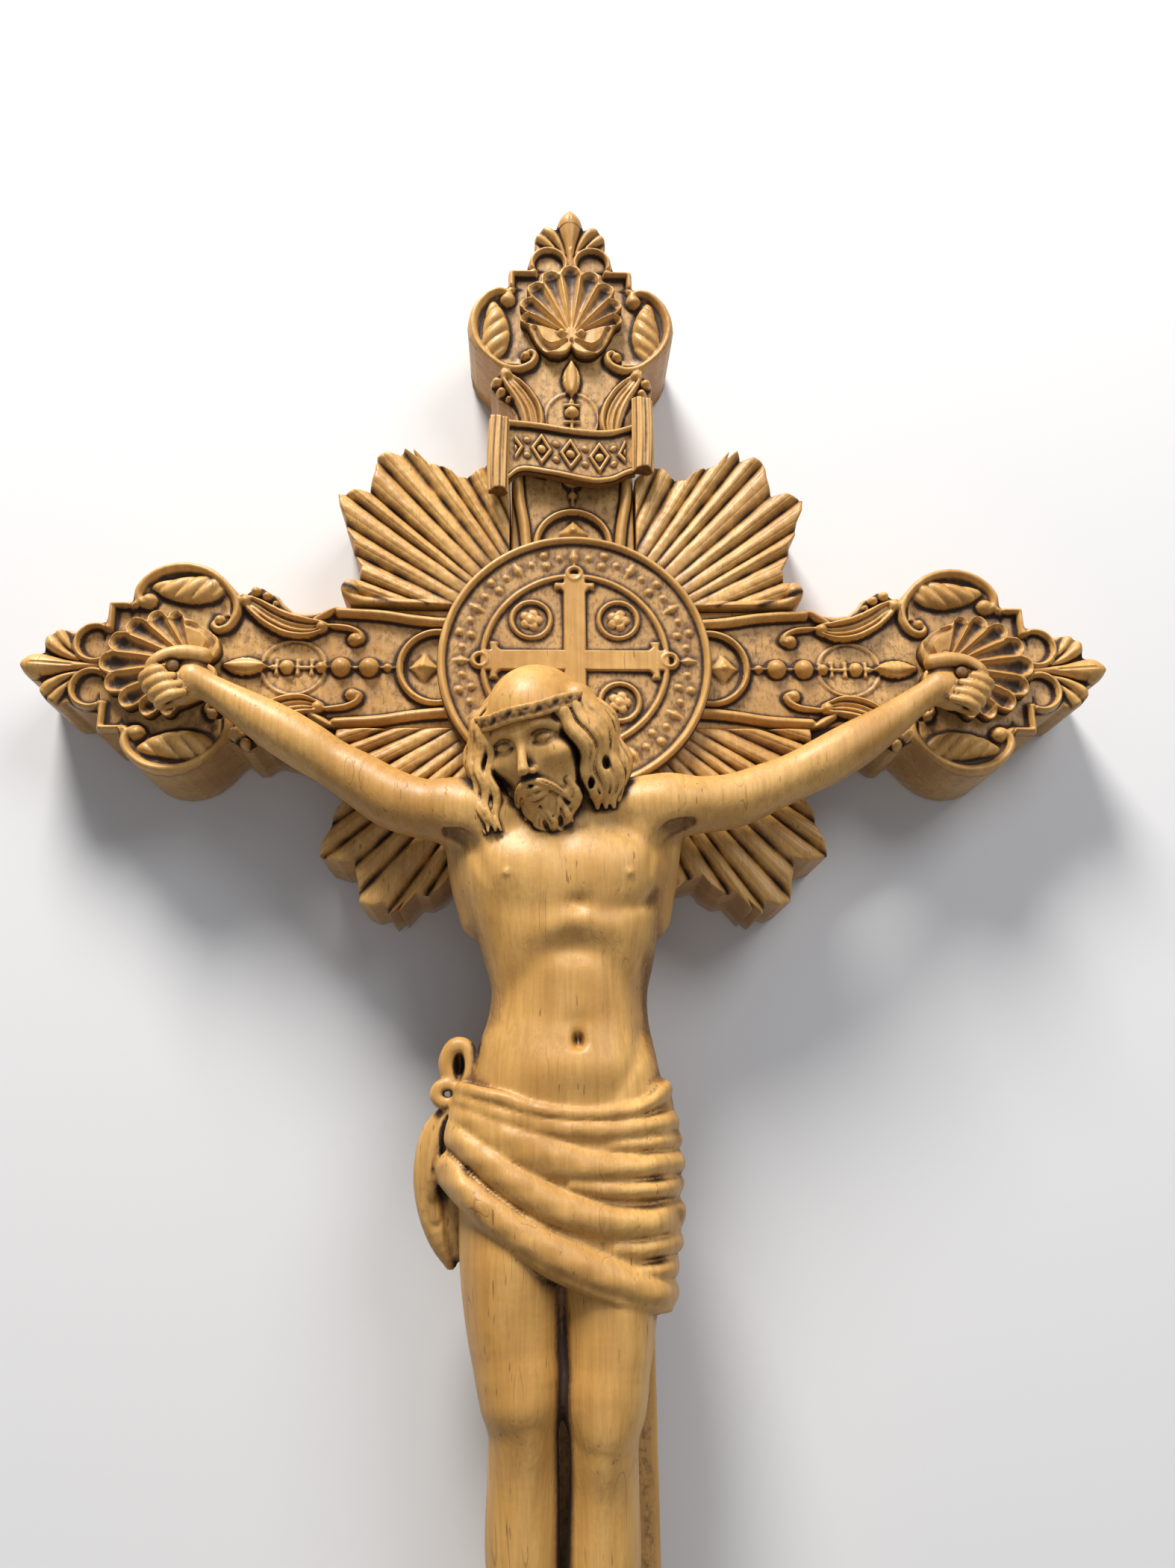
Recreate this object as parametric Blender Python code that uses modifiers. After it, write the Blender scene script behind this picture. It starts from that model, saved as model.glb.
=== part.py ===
"""A carved beech wall crucifix with a medal, rays, shells and a corpus, in metres, standing upright.

Drawings are made flat on the bench: x to the right, y up the cross, z out of the board, with the
crossing at zero and the back of the boards at z = 0. One empty stands the finished work up on the
wall, so that +Z is up, the front faces -Y and the hanging point lies at the origin. An arm's own
drawing runs along y from the crossing, so s below is the distance along an arm and t across it.
"""

import math

import bmesh
import bpy
import numpy as np
from mathutils import Matrix, Vector

MM = 0.001

# Boards
BOARD_THICKNESS = 16.5 * MM
RELIEF_DEPTH = 1.5 * MM
ARM_REACH = 90.0 * MM
TOP_REACH = 91.4 * MM
FOOT_REACH = 208.6 * MM
BEAM_WIDTH = 21.2 * MM
NECK_WIDTH = 19.8 * MM
SCROLL_WIDTH = 37.6 * MM
CLEARANCE = 0.3 * MM
MOULDING_WIDTH = 1.3 * MM
MOULDING_SUNK = 0.05 * MM
BULB_LENGTH = 10.4 * MM
SCROLL_BAND = 1.8 * MM

# Hanging
HANGER_HEIGHT = 62.0 * MM
SCREW_SHANK_SLOT = 4.6 * MM
SCREW_HEAD_HOLE = 9.0 * MM
SLOT_LENGTH = 11.0 * MM
SLOT_DEPTH = 7.0 * MM
SLOT_LIP = 2.6 * MM

# Medal
MEDAL_RADIUS = 22.6 * MM
MEDAL_INNER_RING = 15.6 * MM
MEDAL_LET_IN = 1.5 * MM
MEDAL_FIELD = 3.6 * MM
MEDAL_RING_RISE = 0.7 * MM
MEDAL_CROSS_WIDTH = 3.7 * MM
ROUNDEL_RADIUS = 3.3 * MM
ROUNDEL_SPREAD = 7.2 * MM

# Rays
RAY_COUNT = 11
RAY_GROOVE = 1.8 * MM

# Shells
SHELL_BASE = 59.8 * MM
SHELL_RISE = 3.0 * MM
SHELL_LOBES = 7
SHELL_LOBE_ANGLE = math.radians(14.2)
SHELL_LET_IN = 0.5 * MM

# Titulus
TITULUS_HEIGHT = 37.5 * MM
TITULUS_WIDTH = 22.0 * MM
TITULUS_DEPTH = 10.0 * MM
TITULUS_THICKNESS = 2.0 * MM
TITULUS_ROLL = 3.2 * MM
PIN_RADIUS = 0.8 * MM
PIN_DEPTH = 4.0 * MM

# Corpus and its fixings
DOWEL_RADIUS = 2.0 * MM
DOWEL_LENGTH = 9.0 * MM
SHOULDER_DOWEL_RADIUS = 1.5 * MM
SHOULDER_DOWEL_LENGTH = 8.0 * MM
NAIL_RADIUS = 0.6 * MM
NAIL_HEAD_RADIUS = 1.1 * MM
NAIL_SET = 7.0 * MM
CROWN_RADIUS = 1.3 * MM
RIGHT_SHOULDER_CUT = -20.0 * MM
LEFT_SHOULDER_CUT = 16.0 * MM
FLESH_VOXEL = 0.6 * MM
ARM_VOXEL = 0.45 * MM
CORPUS_FACES = 3400
ARM_FACES = 680

GROUND = BOARD_THICKNESS - RELIEF_DEPTH
LOWER_SHIFT = FOOT_REACH - ARM_REACH
TOP_SHIFT = TOP_REACH - ARM_REACH
HALF_BEAM = BEAM_WIDTH / 2
HALF_NECK = NECK_WIDTH / 2
HALF_SCROLL = SCROLL_WIDTH / 2
MEDAL_BACK = GROUND - MEDAL_LET_IN + CLEARANCE
MEDAL_FACE = GROUND + MEDAL_FIELD
MEDAL_TOP = MEDAL_FACE + MEDAL_RING_RISE
SHELL_TOP = GROUND + SHELL_RISE
SUNK = 0.8 * MM
FAR = 400 * MM

WOOD = (0.56, 0.32, 0.12, 1.0)
WOOD_DARK = (0.42, 0.22, 0.08, 1.0)


def clear_scene():
    for obj in list(bpy.data.objects):
        bpy.data.objects.remove(obj, do_unlink=True)


def new_collection(name):
    collection = bpy.data.collections.new(name)
    bpy.context.scene.collection.children.link(collection)
    return collection


def wood(name, colour, roughness):
    material = bpy.data.materials.new(name)
    material.use_nodes = True
    shader = material.node_tree.nodes["Principled BSDF"]
    shader.inputs["Base Color"].default_value = colour
    shader.inputs["Roughness"].default_value = roughness
    shader.inputs["Metallic"].default_value = 0.0
    return material


def new_empty(name, parent=None):
    empty = bpy.data.objects.new(name, None)
    empty.empty_display_size = 10 * MM
    bpy.context.scene.collection.objects.link(empty)
    empty.parent = parent
    return empty


clear_scene()
PARTS = new_collection("Wall crucifix")
CUTTERS = new_collection("Cutters")
bench = new_empty("bench")
bench.location = (0, 0, -HANGER_HEIGHT)
bench.rotation_euler = (math.pi / 2, 0, 0)
ARMS = {}
for arm_name, turn, shift in (
    ("top", 0.0, TOP_SHIFT),
    ("left", math.pi / 2, 0.0),
    ("bottom", math.pi, LOWER_SHIFT),
    ("right", -math.pi / 2, 0.0),
):
    arm = new_empty("arm_" + arm_name, bench)
    arm.rotation_euler = (0, 0, turn)
    arm.location = Matrix.Rotation(turn, 3, "Z") @ Vector((0, shift, 0))
    ARMS[arm_name] = arm


def object_from(bm, name, collection, parent):
    mesh = bpy.data.meshes.new(name)
    bm.to_mesh(mesh)
    bm.free()
    obj = bpy.data.objects.new(name, mesh)
    collection.objects.link(obj)
    obj.parent = parent
    return obj


def as_part(obj, name, material, parent=None):
    """A finished piece of the crucifix, under its own name."""
    for collection in list(obj.users_collection):
        collection.objects.unlink(obj)
    PARTS.objects.link(obj)
    obj.name = name
    obj.data.name = name
    obj.data.materials.append(material)
    if parent is not None:
        obj.parent = parent
    return obj


def as_helper(obj, group):
    """A shape that another piece is joined with or cut by."""
    for collection in list(obj.users_collection):
        collection.objects.unlink(obj)
    group.objects.link(obj)
    obj.hide_render = True
    obj.display_type = "WIRE"
    return obj


def helper_group(name):
    group = bpy.data.collections.new(name)
    CUTTERS.children.link(group)
    return group


def mesh_from_curve(curve, parent):
    """The curve's solid as a mesh with its caps welded."""
    bpy.context.view_layer.update()
    graph = bpy.context.evaluated_depsgraph_get()
    mesh = bpy.data.meshes.new_from_object(curve.evaluated_get(graph))
    bm = bmesh.new()
    bm.from_mesh(mesh)
    bmesh.ops.remove_doubles(bm, verts=bm.verts, dist=0.001 * MM)
    bmesh.ops.recalc_face_normals(bm, faces=bm.faces)
    bpy.data.meshes.remove(mesh)
    name = curve.name
    local = curve.matrix_local.copy()
    data = curve.data
    bpy.data.objects.remove(curve, do_unlink=True)
    bpy.data.curves.remove(data)
    obj = object_from(bm, name, CUTTERS, parent)
    obj.matrix_local = local
    return obj


def new_curve(name, points, closed=False, resolution=3, flat=False):
    """A curve through points given as (x, y, z, radius, corner)."""
    data = bpy.data.curves.new(name, "CURVE")
    data.dimensions = "2D" if flat else "3D"
    data.resolution_u = resolution
    data.twist_mode = "MINIMUM"
    spline = data.splines.new("BEZIER")
    spline.bezier_points.add(len(points) - 1)
    spline.use_cyclic_u = closed
    for knot, (x, y, z, radius, corner) in zip(spline.bezier_points, points):
        knot.co = (x, y, z)
        knot.radius = radius
        knot.handle_left_type = "VECTOR" if corner else "AUTO"
        knot.handle_right_type = "VECTOR" if corner else "AUTO"
    obj = bpy.data.objects.new(name, data)
    CUTTERS.objects.link(obj)
    return obj


def plate(name, outline, low, high, parent, resolution=3):
    """A flat outline of (x, y, corner) extruded from z = low to z = high."""
    points = [(x, y, 0, 1, corner) for x, y, corner in outline]
    curve = new_curve(name, points, closed=True, resolution=resolution, flat=True)
    curve.data.fill_mode = "BOTH"
    curve.data.extrude = (high - low) / 2
    curve.location = (0, 0, (high + low) / 2)
    return mesh_from_curve(curve, parent)


def moulding(name, path, width, top, parent, resolution=2, corners=False, closed=False, foot=None):
    """A raised band with a ridged top, carried along a path of (x, y), half above its ground."""
    foot = (GROUND if foot is None else foot) - MOULDING_SUNK
    points = [(x, y, 0, 1, corners) for x, y in path]
    curve = new_curve(name, points, closed=closed, resolution=resolution)
    curve.data.twist_mode = "Z_UP"
    curve.data.use_fill_caps = True
    curve.data.bevel_depth = width / 2
    curve.data.bevel_resolution = 0
    curve.location = (0, 0, foot)
    curve.scale = (1, 1, (top - foot) / (width / 2))
    return mesh_from_curve(curve, parent)


def rope(name, path, parent, resolution=2, sides=1):
    """A round tapering form through (x, y, z, radius)."""
    points = [(x, y, z, radius, False) for x, y, z, radius in path]
    curve = new_curve(name, points, resolution=resolution)
    curve.data.use_fill_caps = True
    curve.data.bevel_depth = 1.0
    curve.data.bevel_resolution = sides
    return mesh_from_curve(curve, parent)


def egg(name, centre, radii, parent, turn=0.0, segments=8, rings=4):
    """A ball or an almond, with its long way turned in the board's plane."""
    bm = bmesh.new()
    place = (
        Matrix.Translation(centre)
        @ Matrix.Rotation(turn, 4, "Z")
        @ Matrix.Diagonal((*radii, 1))
    )
    bmesh.ops.create_uvsphere(
        bm, u_segments=segments, v_segments=rings, radius=1, matrix=place
    )
    return object_from(bm, name, CUTTERS, parent)


def block(name, low, high, parent):
    bm = bmesh.new()
    middle = (Vector(low) + Vector(high)) / 2
    size = Vector(high) - Vector(low)
    place = Matrix.Translation(middle) @ Matrix.Diagonal((*size, 1))
    bmesh.ops.create_cube(bm, size=1, matrix=place)
    return object_from(bm, name, CUTTERS, parent)


def rod(name, start, end, radius, parent, end_radius=None, segments=12):
    """A cylinder or cone from start to end."""
    start = Vector(start)
    end = Vector(end)
    way = end - start
    place = Matrix.Translation((start + end) / 2) @ way.to_track_quat(
        "Z", "Y"
    ).to_matrix().to_4x4()
    bm = bmesh.new()
    bmesh.ops.create_cone(
        bm,
        cap_ends=True,
        segments=segments,
        radius1=radius,
        radius2=radius if end_radius is None else end_radius,
        depth=way.length,
        matrix=place,
    )
    return object_from(bm, name, CUTTERS, parent)


def turned(name, profile, steps, parent):
    """A shape turned about z from (radius, height), down its outer side from the axis at the top."""
    bm = bmesh.new()
    verts = [bm.verts.new((radius, 0, height)) for radius, height in profile]
    for first, second in zip(verts, verts[1:]):
        bm.edges.new((first, second))
    obj = object_from(bm, name, CUTTERS, parent)
    screw = obj.modifiers.new("Turn", "SCREW")
    screw.axis = "Z"
    screw.steps = steps
    screw.render_steps = steps
    screw.use_merge_vertices = True
    screw.merge_threshold = 0.01 * MM
    return obj


JOINS = []


def boolean(obj, group, operation):
    """Notes a join or a cut, which is made once every shape is in its place."""
    JOINS.append((obj, group, operation))


def make_joins():
    """The exact solver leaves open edges where many crossing mouldings join a board, so only the
    thinned flesh, whose creases may touch themselves, is cut with it."""
    for obj, group, operation in JOINS:
        modifier = obj.modifiers.new(group.name, "BOOLEAN")
        modifier.operation = operation
        modifier.operand_type = "COLLECTION"
        modifier.collection = group
        fleshy = "Thin" in obj.modifiers
        modifier.solver = "EXACT" if fleshy else "MANIFOLD"
        modifier.use_self = fleshy


def mirrored(points):
    return [(-point[0], *point[1:]) for point in points]


# How far the side of an arm's end stands from its middle line, from the beam out to the tip:
# distance along the arm, half-width, and whether the outline has a corner there
END_OUTLINE = [
    (39.5 * MM, HALF_BEAM, True),
    (45.0 * MM, HALF_NECK, False),
    (47.6 * MM, HALF_NECK + 1.0 * MM, False),
    (49.6 * MM, HALF_NECK + 3.2 * MM, False),
    (53.2 * MM, HALF_NECK + 4.6 * MM, False),
    (56.8 * MM, HALF_SCROLL - 5.2 * MM, True),
    (60.0 * MM, HALF_SCROLL - 1.5 * MM, False),
    (65.2 * MM, HALF_SCROLL, False),
    (70.6 * MM, HALF_SCROLL - 1.6 * MM, False),
    (74.2 * MM, HALF_SCROLL - 6.4 * MM, True),
    (74.8 * MM, 11.3 * MM, True),
    (77.3 * MM, 11.3 * MM, True),
    (77.3 * MM, 7.2 * MM, True),
    (80.0 * MM, 7.8 * MM, False),
    (83.0 * MM, 6.2 * MM, True),
    (86.4 * MM, 5.3 * MM, False),
    (87.6 * MM, 3.1 * MM, True),
    (88.7 * MM, 2.4 * MM, False),
]


def board_outline(first_end, last_end, extra=()):
    """The closed outline of a board from the half-outlines of its two ends, along y."""
    side = [(t, -s - last_end, corner) for s, t, corner in reversed(END_OUTLINE)]
    side += list(extra)
    side += [(t, s + first_end, corner) for s, t, corner in END_OUTLINE]
    tip = [(0, ARM_REACH + first_end, False)]
    foot = [(0, -ARM_REACH - last_end, False)]
    return foot + side + tip + mirrored(reversed(side))


def carve_end(arm, group):
    """The raised ornament of one arm's end: frame, scrolls, swags, palmette and beads."""
    made = []
    top = BOARD_THICKNESS
    for side in (1, -1):

        def line(*points):
            return [(side * t * MM, s * MM) for s, t in points]

        reach = HALF_SCROLL / MM
        scroll = line(
            (59.9, 8.4), (57.5, 10.8), (59.3, reach - 3.5), (65.2, reach - 1.3),
            (71.0, reach - 3.6), (72.7, reach - 6.6), (70.8, 11.2),
        )
        made.append(moulding("scroll", scroll, SCROLL_BAND, top, arm))
        for s, t, radius in ((59.7, 8.0, 1.2), (70.9, 11.6, 1.5)):
            eye = (side * t * MM, s * MM, GROUND)
            size = (radius * MM, radius * MM, RELIEF_DEPTH)
            made.append(egg("eye", eye, size, arm, segments=6))
        leaf = (side * (HALF_SCROLL - 4.9 * MM), 65.2 * MM, GROUND)
        size = (2.1 * MM, 4.8 * MM, 1.9 * MM)
        made.append(egg("leaf", leaf, size, arm, turn=side * math.radians(-12), segments=6))
        corner = line((74.0, 10.5), (76.6, 10.5), (76.6, 6.8))
        made.append(
            moulding("corner", corner, MOULDING_WIDTH, top, arm, resolution=1, corners=True)
        )
        swag = [
            (side * t * MM, s * MM, GROUND - 0.3 * MM, radius * MM)
            for s, t, radius in (
                (54.8, 12.0, 1.2), (52.2, 10.6, 1.8), (48.9, 8.1, 2.0), (45.0, 7.2, 1.9),
                (41.6, 7.5, 1.2),
            )
        ]
        made.append(rope("swag", swag, arm, resolution=1))
        curl = line((41.4, 7.5), (37.6, 6.6), (35.7, 5.2), (36.9, 4.3))
        made.append(moulding("curl", curl, MOULDING_WIDTH, top, arm))
        arch = line((79.3, 2.7), (81.5, 3.3), (81.3, 5.4), (78.4, 6.1))
        made.append(moulding("arch", arch, MOULDING_WIDTH, top, arm))
        petal = (side * 3.3 * MM, 84.4 * MM, GROUND)
        size = (1.2 * MM, 2.4 * MM, 1.8 * MM)
        made.append(egg("petal", petal, size, arm, turn=side * math.radians(-38), segments=6))
    bulb = (0, ARM_REACH - BULB_LENGTH / 2 - 0.5 * MM, GROUND)
    size = (1.9 * MM, BULB_LENGTH / 2, 2.2 * MM)
    made.append(egg("bulb", bulb, size, arm, segments=6))
    for s, across, along in (
        (54.0, 1.4, 3.2), (47.3, 1.2, 1.2), (41.7, 1.0, 1.0), (38.5, 1.7, 1.7), (33.7, 1.7, 1.7),
    ):
        bead = (0, s * MM, GROUND)
        size = (across * MM, along * MM, RELIEF_DEPTH)
        made.append(egg("bead", bead, size, arm, segments=5))
    for obj in made:
        as_helper(obj, group)


def carve_crossing_end(arm, group, shift=0.0):
    """The mouldings between the medal and an arm's swags, drawn from the crossing."""
    made = []
    start = MEDAL_RADIUS - 2 * MM - shift
    for side in (1, -1):
        inner = side * (HALF_BEAM - 2.6 * MM)
        outer = side * (HALF_BEAM - 1.0 * MM)
        path = [(inner, start), (outer, start + 9 * MM), (outer, 36.5 * MM - shift)]
        made.append(
            moulding("edge", path, SCROLL_BAND, BOARD_THICKNESS, arm, resolution=1)
        )
    radius = 6.4 * MM
    centre = MEDAL_RADIUS - shift
    turns = np.linspace(math.radians(-6), math.radians(186), 5)
    arch = [(radius * math.cos(a), centre + radius * math.sin(a)) for a in turns]
    made.append(moulding("half_ring", arch, MOULDING_WIDTH, BOARD_THICKNESS, arm))
    gem = rod(
        "gem",
        (0, centre + 2.6 * MM, GROUND - SUNK),
        (0, centre + 2.6 * MM, BOARD_THICKNESS),
        2.6 * MM,
        arm,
        end_radius=0.3 * MM,
        segments=4,
    )
    made.append(gem)
    for obj in made:
        as_helper(obj, group)


def shell_outline(spread):
    """A fan of round lobes about its base, on an arm's middle line, grown by spread on all sides."""
    reach = (14.0 * MM, 16.0 * MM, 17.6 * MM, 18.5 * MM)
    half = SHELL_LOBES // 2
    points = []
    for lobe in range(-half, half + 1):
        length = reach[half - abs(lobe)]
        for part, depth, corner in ((-0.5, 1.3 * MM, True), (0.0, 0.0, False)):
            turn = (lobe + part) * SHELL_LOBE_ANGLE
            radius = length - depth + spread
            points.append(
                (-radius * math.sin(turn), SHELL_BASE + radius * math.cos(turn), corner)
            )
    turn = (half + 0.5) * SHELL_LOBE_ANGLE
    radius = reach[0] - 1.3 * MM + spread
    points.append((-radius * math.sin(turn), SHELL_BASE + radius * math.cos(turn), True))
    foot = SHELL_BASE - spread
    skirt = 5.6 * MM + spread
    points.append((-skirt, foot + 0.9 * MM, True))
    points.append((-skirt / 2, foot - 0.3 * MM, False))
    points.append((0, foot + 1.6 * MM, True))
    points.append((skirt / 2, foot - 0.3 * MM, False))
    points.append((skirt, foot + 0.9 * MM, True))
    return points


def make_shell(arm_name, nail_at=None):
    arm = ARMS[arm_name]
    back = GROUND - SHELL_LET_IN + CLEARANCE
    shell = plate("shell", shell_outline(0.0), back, SHELL_TOP, arm, resolution=2)
    flutes = helper_group("flutes of the shell on the arm " + arm_name)
    half = SHELL_LOBES // 2
    for lobe in range(-half, half + 1):
        turn = lobe * SHELL_LOBE_ANGLE
        way = Vector((-math.sin(turn), math.cos(turn), 0))
        start = Vector((0, SHELL_BASE - 2 * MM, SHELL_TOP + 0.2 * MM))
        flute = rod(
            "flute",
            start + way * 4 * MM,
            start + way * 24 * MM,
            0.2 * MM,
            arm,
            end_radius=2.2 * MM,
            segments=6,
        )
        as_helper(flute, flutes)
    if nail_at is not None:
        as_helper(nail_bore(nail_at), flutes)
    boolean(shell, flutes, "DIFFERENCE")
    return as_part(shell, "shell_" + arm_name, wood("shell_" + arm_name, WOOD, 0.4))


def shell_seat(arm_name, group):
    seat = plate(
        "shell_seat",
        shell_outline(CLEARANCE),
        GROUND - SHELL_LET_IN,
        FAR,
        ARMS[arm_name],
        resolution=2,
    )
    as_helper(seat, group)


def nail_bore(place):
    x, y = place[:2]
    return rod(
        "nail_bore",
        (x, y, GROUND - NAIL_SET - CLEARANCE),
        (x, y, FAR),
        NAIL_RADIUS + CLEARANCE,
        bench,
        segments=10,
    )


def nail_head_seat(place):
    x, y, seat = place
    return rod(
        "nail_seat",
        (x, y, seat),
        (x, y, FAR),
        NAIL_HEAD_RADIUS + CLEARANCE,
        bench,
        segments=10,
    )


def make_nail(name, place):
    x, y, seat = place
    low = seat + CLEARANCE
    rise = 0.9 * MM
    foot = GROUND - NAIL_SET
    profile = [
        (0, low + rise),
        (NAIL_HEAD_RADIUS * 0.7, low + rise * 0.75),
        (NAIL_HEAD_RADIUS, low + rise * 0.25),
        (NAIL_HEAD_RADIUS, low),
        (NAIL_RADIUS, low),
        (NAIL_RADIUS, foot + 2 * NAIL_RADIUS),
        (0, foot),
    ]
    nail = turned(name, profile, 10, bench)
    nail.location = (x, y, 0)
    return as_part(nail, name, wood(name, WOOD_DARK, 0.45))


def dowel(name, start, end, radius, group_list):
    """A round dowel and, in each piece that it joins, its bore."""
    pin = rod(name, start, end, radius, bench)
    way = (Vector(end) - Vector(start)).normalized() * CLEARANCE
    for group in group_list:
        bore = rod(
            "bore",
            Vector(start) - way,
            Vector(end) + way,
            radius + CLEARANCE,
            bench,
        )
        as_helper(bore, group)
    return as_part(pin, name, wood(name, WOOD_DARK, 0.6))


def keyhole(group):
    """The routed slot in the back that the wall screw's head enters and slides up."""
    up = HANGER_HEIGHT
    entry = up - SLOT_LENGTH + SCREW_SHANK_SLOT / 2
    half = SCREW_SHANK_SLOT / 2
    head = SCREW_HEAD_HOLE / 2
    made = [
        rod("entry", (0, entry, -FAR), (0, entry, SLOT_DEPTH), head, bench, segments=16),
        rod("stop", (0, up - half, -FAR), (0, up - half, SLOT_DEPTH), half, bench),
        rod("head_stop", (0, up - half, SLOT_LIP), (0, up - half, SLOT_DEPTH), head, bench),
        block("slot", (-half, entry, -FAR), (half, up - half, SLOT_DEPTH - 0.1 * MM), bench),
        block(
            "head_slot",
            (-head, entry, SLOT_LIP),
            (head, up - half, SLOT_DEPTH - 0.2 * MM),
            bench,
        ),
    ]
    for obj in made:
        as_helper(obj, group)


# The jagged edge of a ray panel in its own quarter, from beside one beam round to the other, and
# its last stretch above the crossbar, where a knob ends the moulding, and below it
RAY_EDGE = [
    (15.0 * MM, 38.0 * MM), (20.0 * MM, 35.3 * MM), (23.3 * MM, 38.0 * MM), (27.0 * MM, 39.0 * MM),
    (29.3 * MM, 41.2 * MM), (30.7 * MM, 39.5 * MM), (34.0 * MM, 39.4 * MM), (35.1 * MM, 32.5 * MM),
    (40.4 * MM, 32.0 * MM), (39.3 * MM, 27.5 * MM), (37.3 * MM, 23.0 * MM),
]
RAY_KNOB = [
    (35.8 * MM, 18.0 * MM), (36.2 * MM, 15.4 * MM), (38.0 * MM, 14.8 * MM), (38.9 * MM, 13.2 * MM),
]
RAY_START = 35.4 * MM
RAY_END = 37.6 * MM
RAY_LOW_END = (38.8 * MM, 19.4 * MM)


def ray_outline(low):
    """A ray panel's outline in its quarter, from the foot beside one beam to that beside the other."""
    edge = HALF_BEAM + CLEARANCE
    outline = [(edge, RAY_START, True)]
    outline += [(x, y, True) for x, y in RAY_EDGE]
    if low:
        outline += [(*RAY_LOW_END, True), (RAY_LOW_END[0], edge, True)]
    else:
        outline += [(x, y, number < 2) for number, (x, y) in enumerate(RAY_KNOB)]
        outline.append((RAY_END, edge, True))
    outline.append((edge, edge, True))
    return outline


def make_ray_panel(name, side, height, seats):
    low = height < 0
    outline = [(side * x, height * y, corner) for x, y, corner in ray_outline(low)]
    panel = plate("rays", outline, 0.0, BOARD_THICKNESS, bench)
    grooves = helper_group("grooves of " + name)
    first = math.radians(16)
    step = (math.pi / 2 - 2 * first) / (RAY_COUNT - 1)
    for ray in range(RAY_COUNT):
        turn = first + ray * step
        way = Vector((side * math.cos(turn), height * math.sin(turn), 0))
        start = Vector((0, 0, BOARD_THICKNESS + 0.1 * MM))
        groove = rod(
            "groove",
            start + way * (MEDAL_RADIUS - 9 * MM),
            start + way * 56 * MM,
            0.1 * MM,
            bench,
            end_radius=RAY_GROOVE * 1.35,
            segments=6,
        )
        as_helper(groove, grooves)
    boolean(panel, grooves, "DIFFERENCE")
    boolean(panel, seats, "DIFFERENCE")
    return as_part(panel, name, wood(name, WOOD, 0.4))


def make_medal():
    rim = 1.3 * MM
    ring = 1.0 * MM
    top = MEDAL_TOP
    field = MEDAL_FACE
    profile = [
        (0, field),
        (MEDAL_INNER_RING - ring, field),
        (MEDAL_INNER_RING - ring * 0.7, top),
        (MEDAL_INNER_RING - ring * 0.3, top),
        (MEDAL_INNER_RING, field),
        (MEDAL_RADIUS - rim, field),
        (MEDAL_RADIUS - rim * 0.8, top),
        (MEDAL_RADIUS - rim * 0.3, top),
        (MEDAL_RADIUS, field),
        (MEDAL_RADIUS, MEDAL_BACK),
        (0, MEDAL_BACK),
    ]
    medal = turned("medal_disc", profile, 32, bench)
    raised = helper_group("cross of the medal")
    half = MEDAL_CROSS_WIDTH / 2
    reach = MEDAL_INNER_RING - 1.8 * MM
    low = field - SUNK
    bar = 0.6 * MM
    cross_top = top - 0.1 * MM
    spokes = 10
    made = [
        block("bar", (-half, -reach, low), (half, reach, cross_top), bench),
        block("bar", (-reach, -half, low * 0.999), (reach, half, cross_top * 0.999), bench),
    ]
    for turn in range(4):
        along = Matrix.Rotation(turn * math.pi / 2, 3, "Z")
        first = along @ Vector((-3.3 * MM, reach - bar, low * 0.998))
        last = along @ Vector((3.3 * MM, reach + bar, cross_top * 0.998))
        lows = [min(a, b) for a, b in zip(first, last)]
        highs = [max(a, b) for a, b in zip(first, last)]
        made.append(block("crosslet", lows, highs, bench))
        centre = along @ Vector((ROUNDEL_SPREAD, ROUNDEL_SPREAD, 0))
        circle = [
            (
                centre.x + ROUNDEL_RADIUS * math.cos(step * math.tau / spokes),
                centre.y + ROUNDEL_RADIUS * math.sin(step * math.tau / spokes),
            )
            for step in range(spokes)
        ]
        made.append(
            moulding("roundel", circle, MOULDING_WIDTH * 0.7, cross_top, bench, 1, closed=True,
                     foot=field)
        )
    for obj in made:
        as_helper(obj, raised)
    boolean(medal, raised, "UNION")
    return as_part(medal, "medal", wood("medal", WOOD, 0.38))


def make_titulus(seats):
    back = BOARD_THICKNESS + CLEARANCE
    front = back + TITULUS_THICKNESS
    half = TITULUS_WIDTH / 2
    low = TITULUS_HEIGHT - TITULUS_DEPTH / 2
    high = TITULUS_HEIGHT + TITULUS_DEPTH / 2
    wave = 1.2 * MM
    outline = [
        (-half, low - wave, True), (-half / 2, low + wave, False), (0, low + wave * 0.7, False),
        (half / 2, low - wave * 0.3, False), (half, low + wave * 1.6, True),
        (half, high + wave * 1.8, True), (half / 2, high + wave * 0.2, False),
        (0, high, False), (-half / 2, high + wave, False), (-half, high - wave * 0.4, True),
    ]
    banner = plate("titulus", outline, back, front, bench)
    rolls = helper_group("rolls of the titulus")
    roll = TITULUS_ROLL / 2
    for side, drop, lift, lean in ((-1, -2.6, 1.6, -0.6), (1, 0.4, 5.2, 0.5)):
        x = side * (half + roll * 0.6)
        as_helper(
            rod(
                "roll",
                (x + lean * MM * 0.3, low + drop * MM, back + roll),
                (x, high + lift * MM, back + roll),
                roll,
                bench,
                end_radius=roll * 0.92,
                segments=10,
            ),
            rolls,
        )
    boolean(banner, rolls, "UNION")
    boolean(banner, seats, "DIFFERENCE")
    return as_part(banner, "titulus", wood("titulus", WOOD, 0.4))


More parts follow.
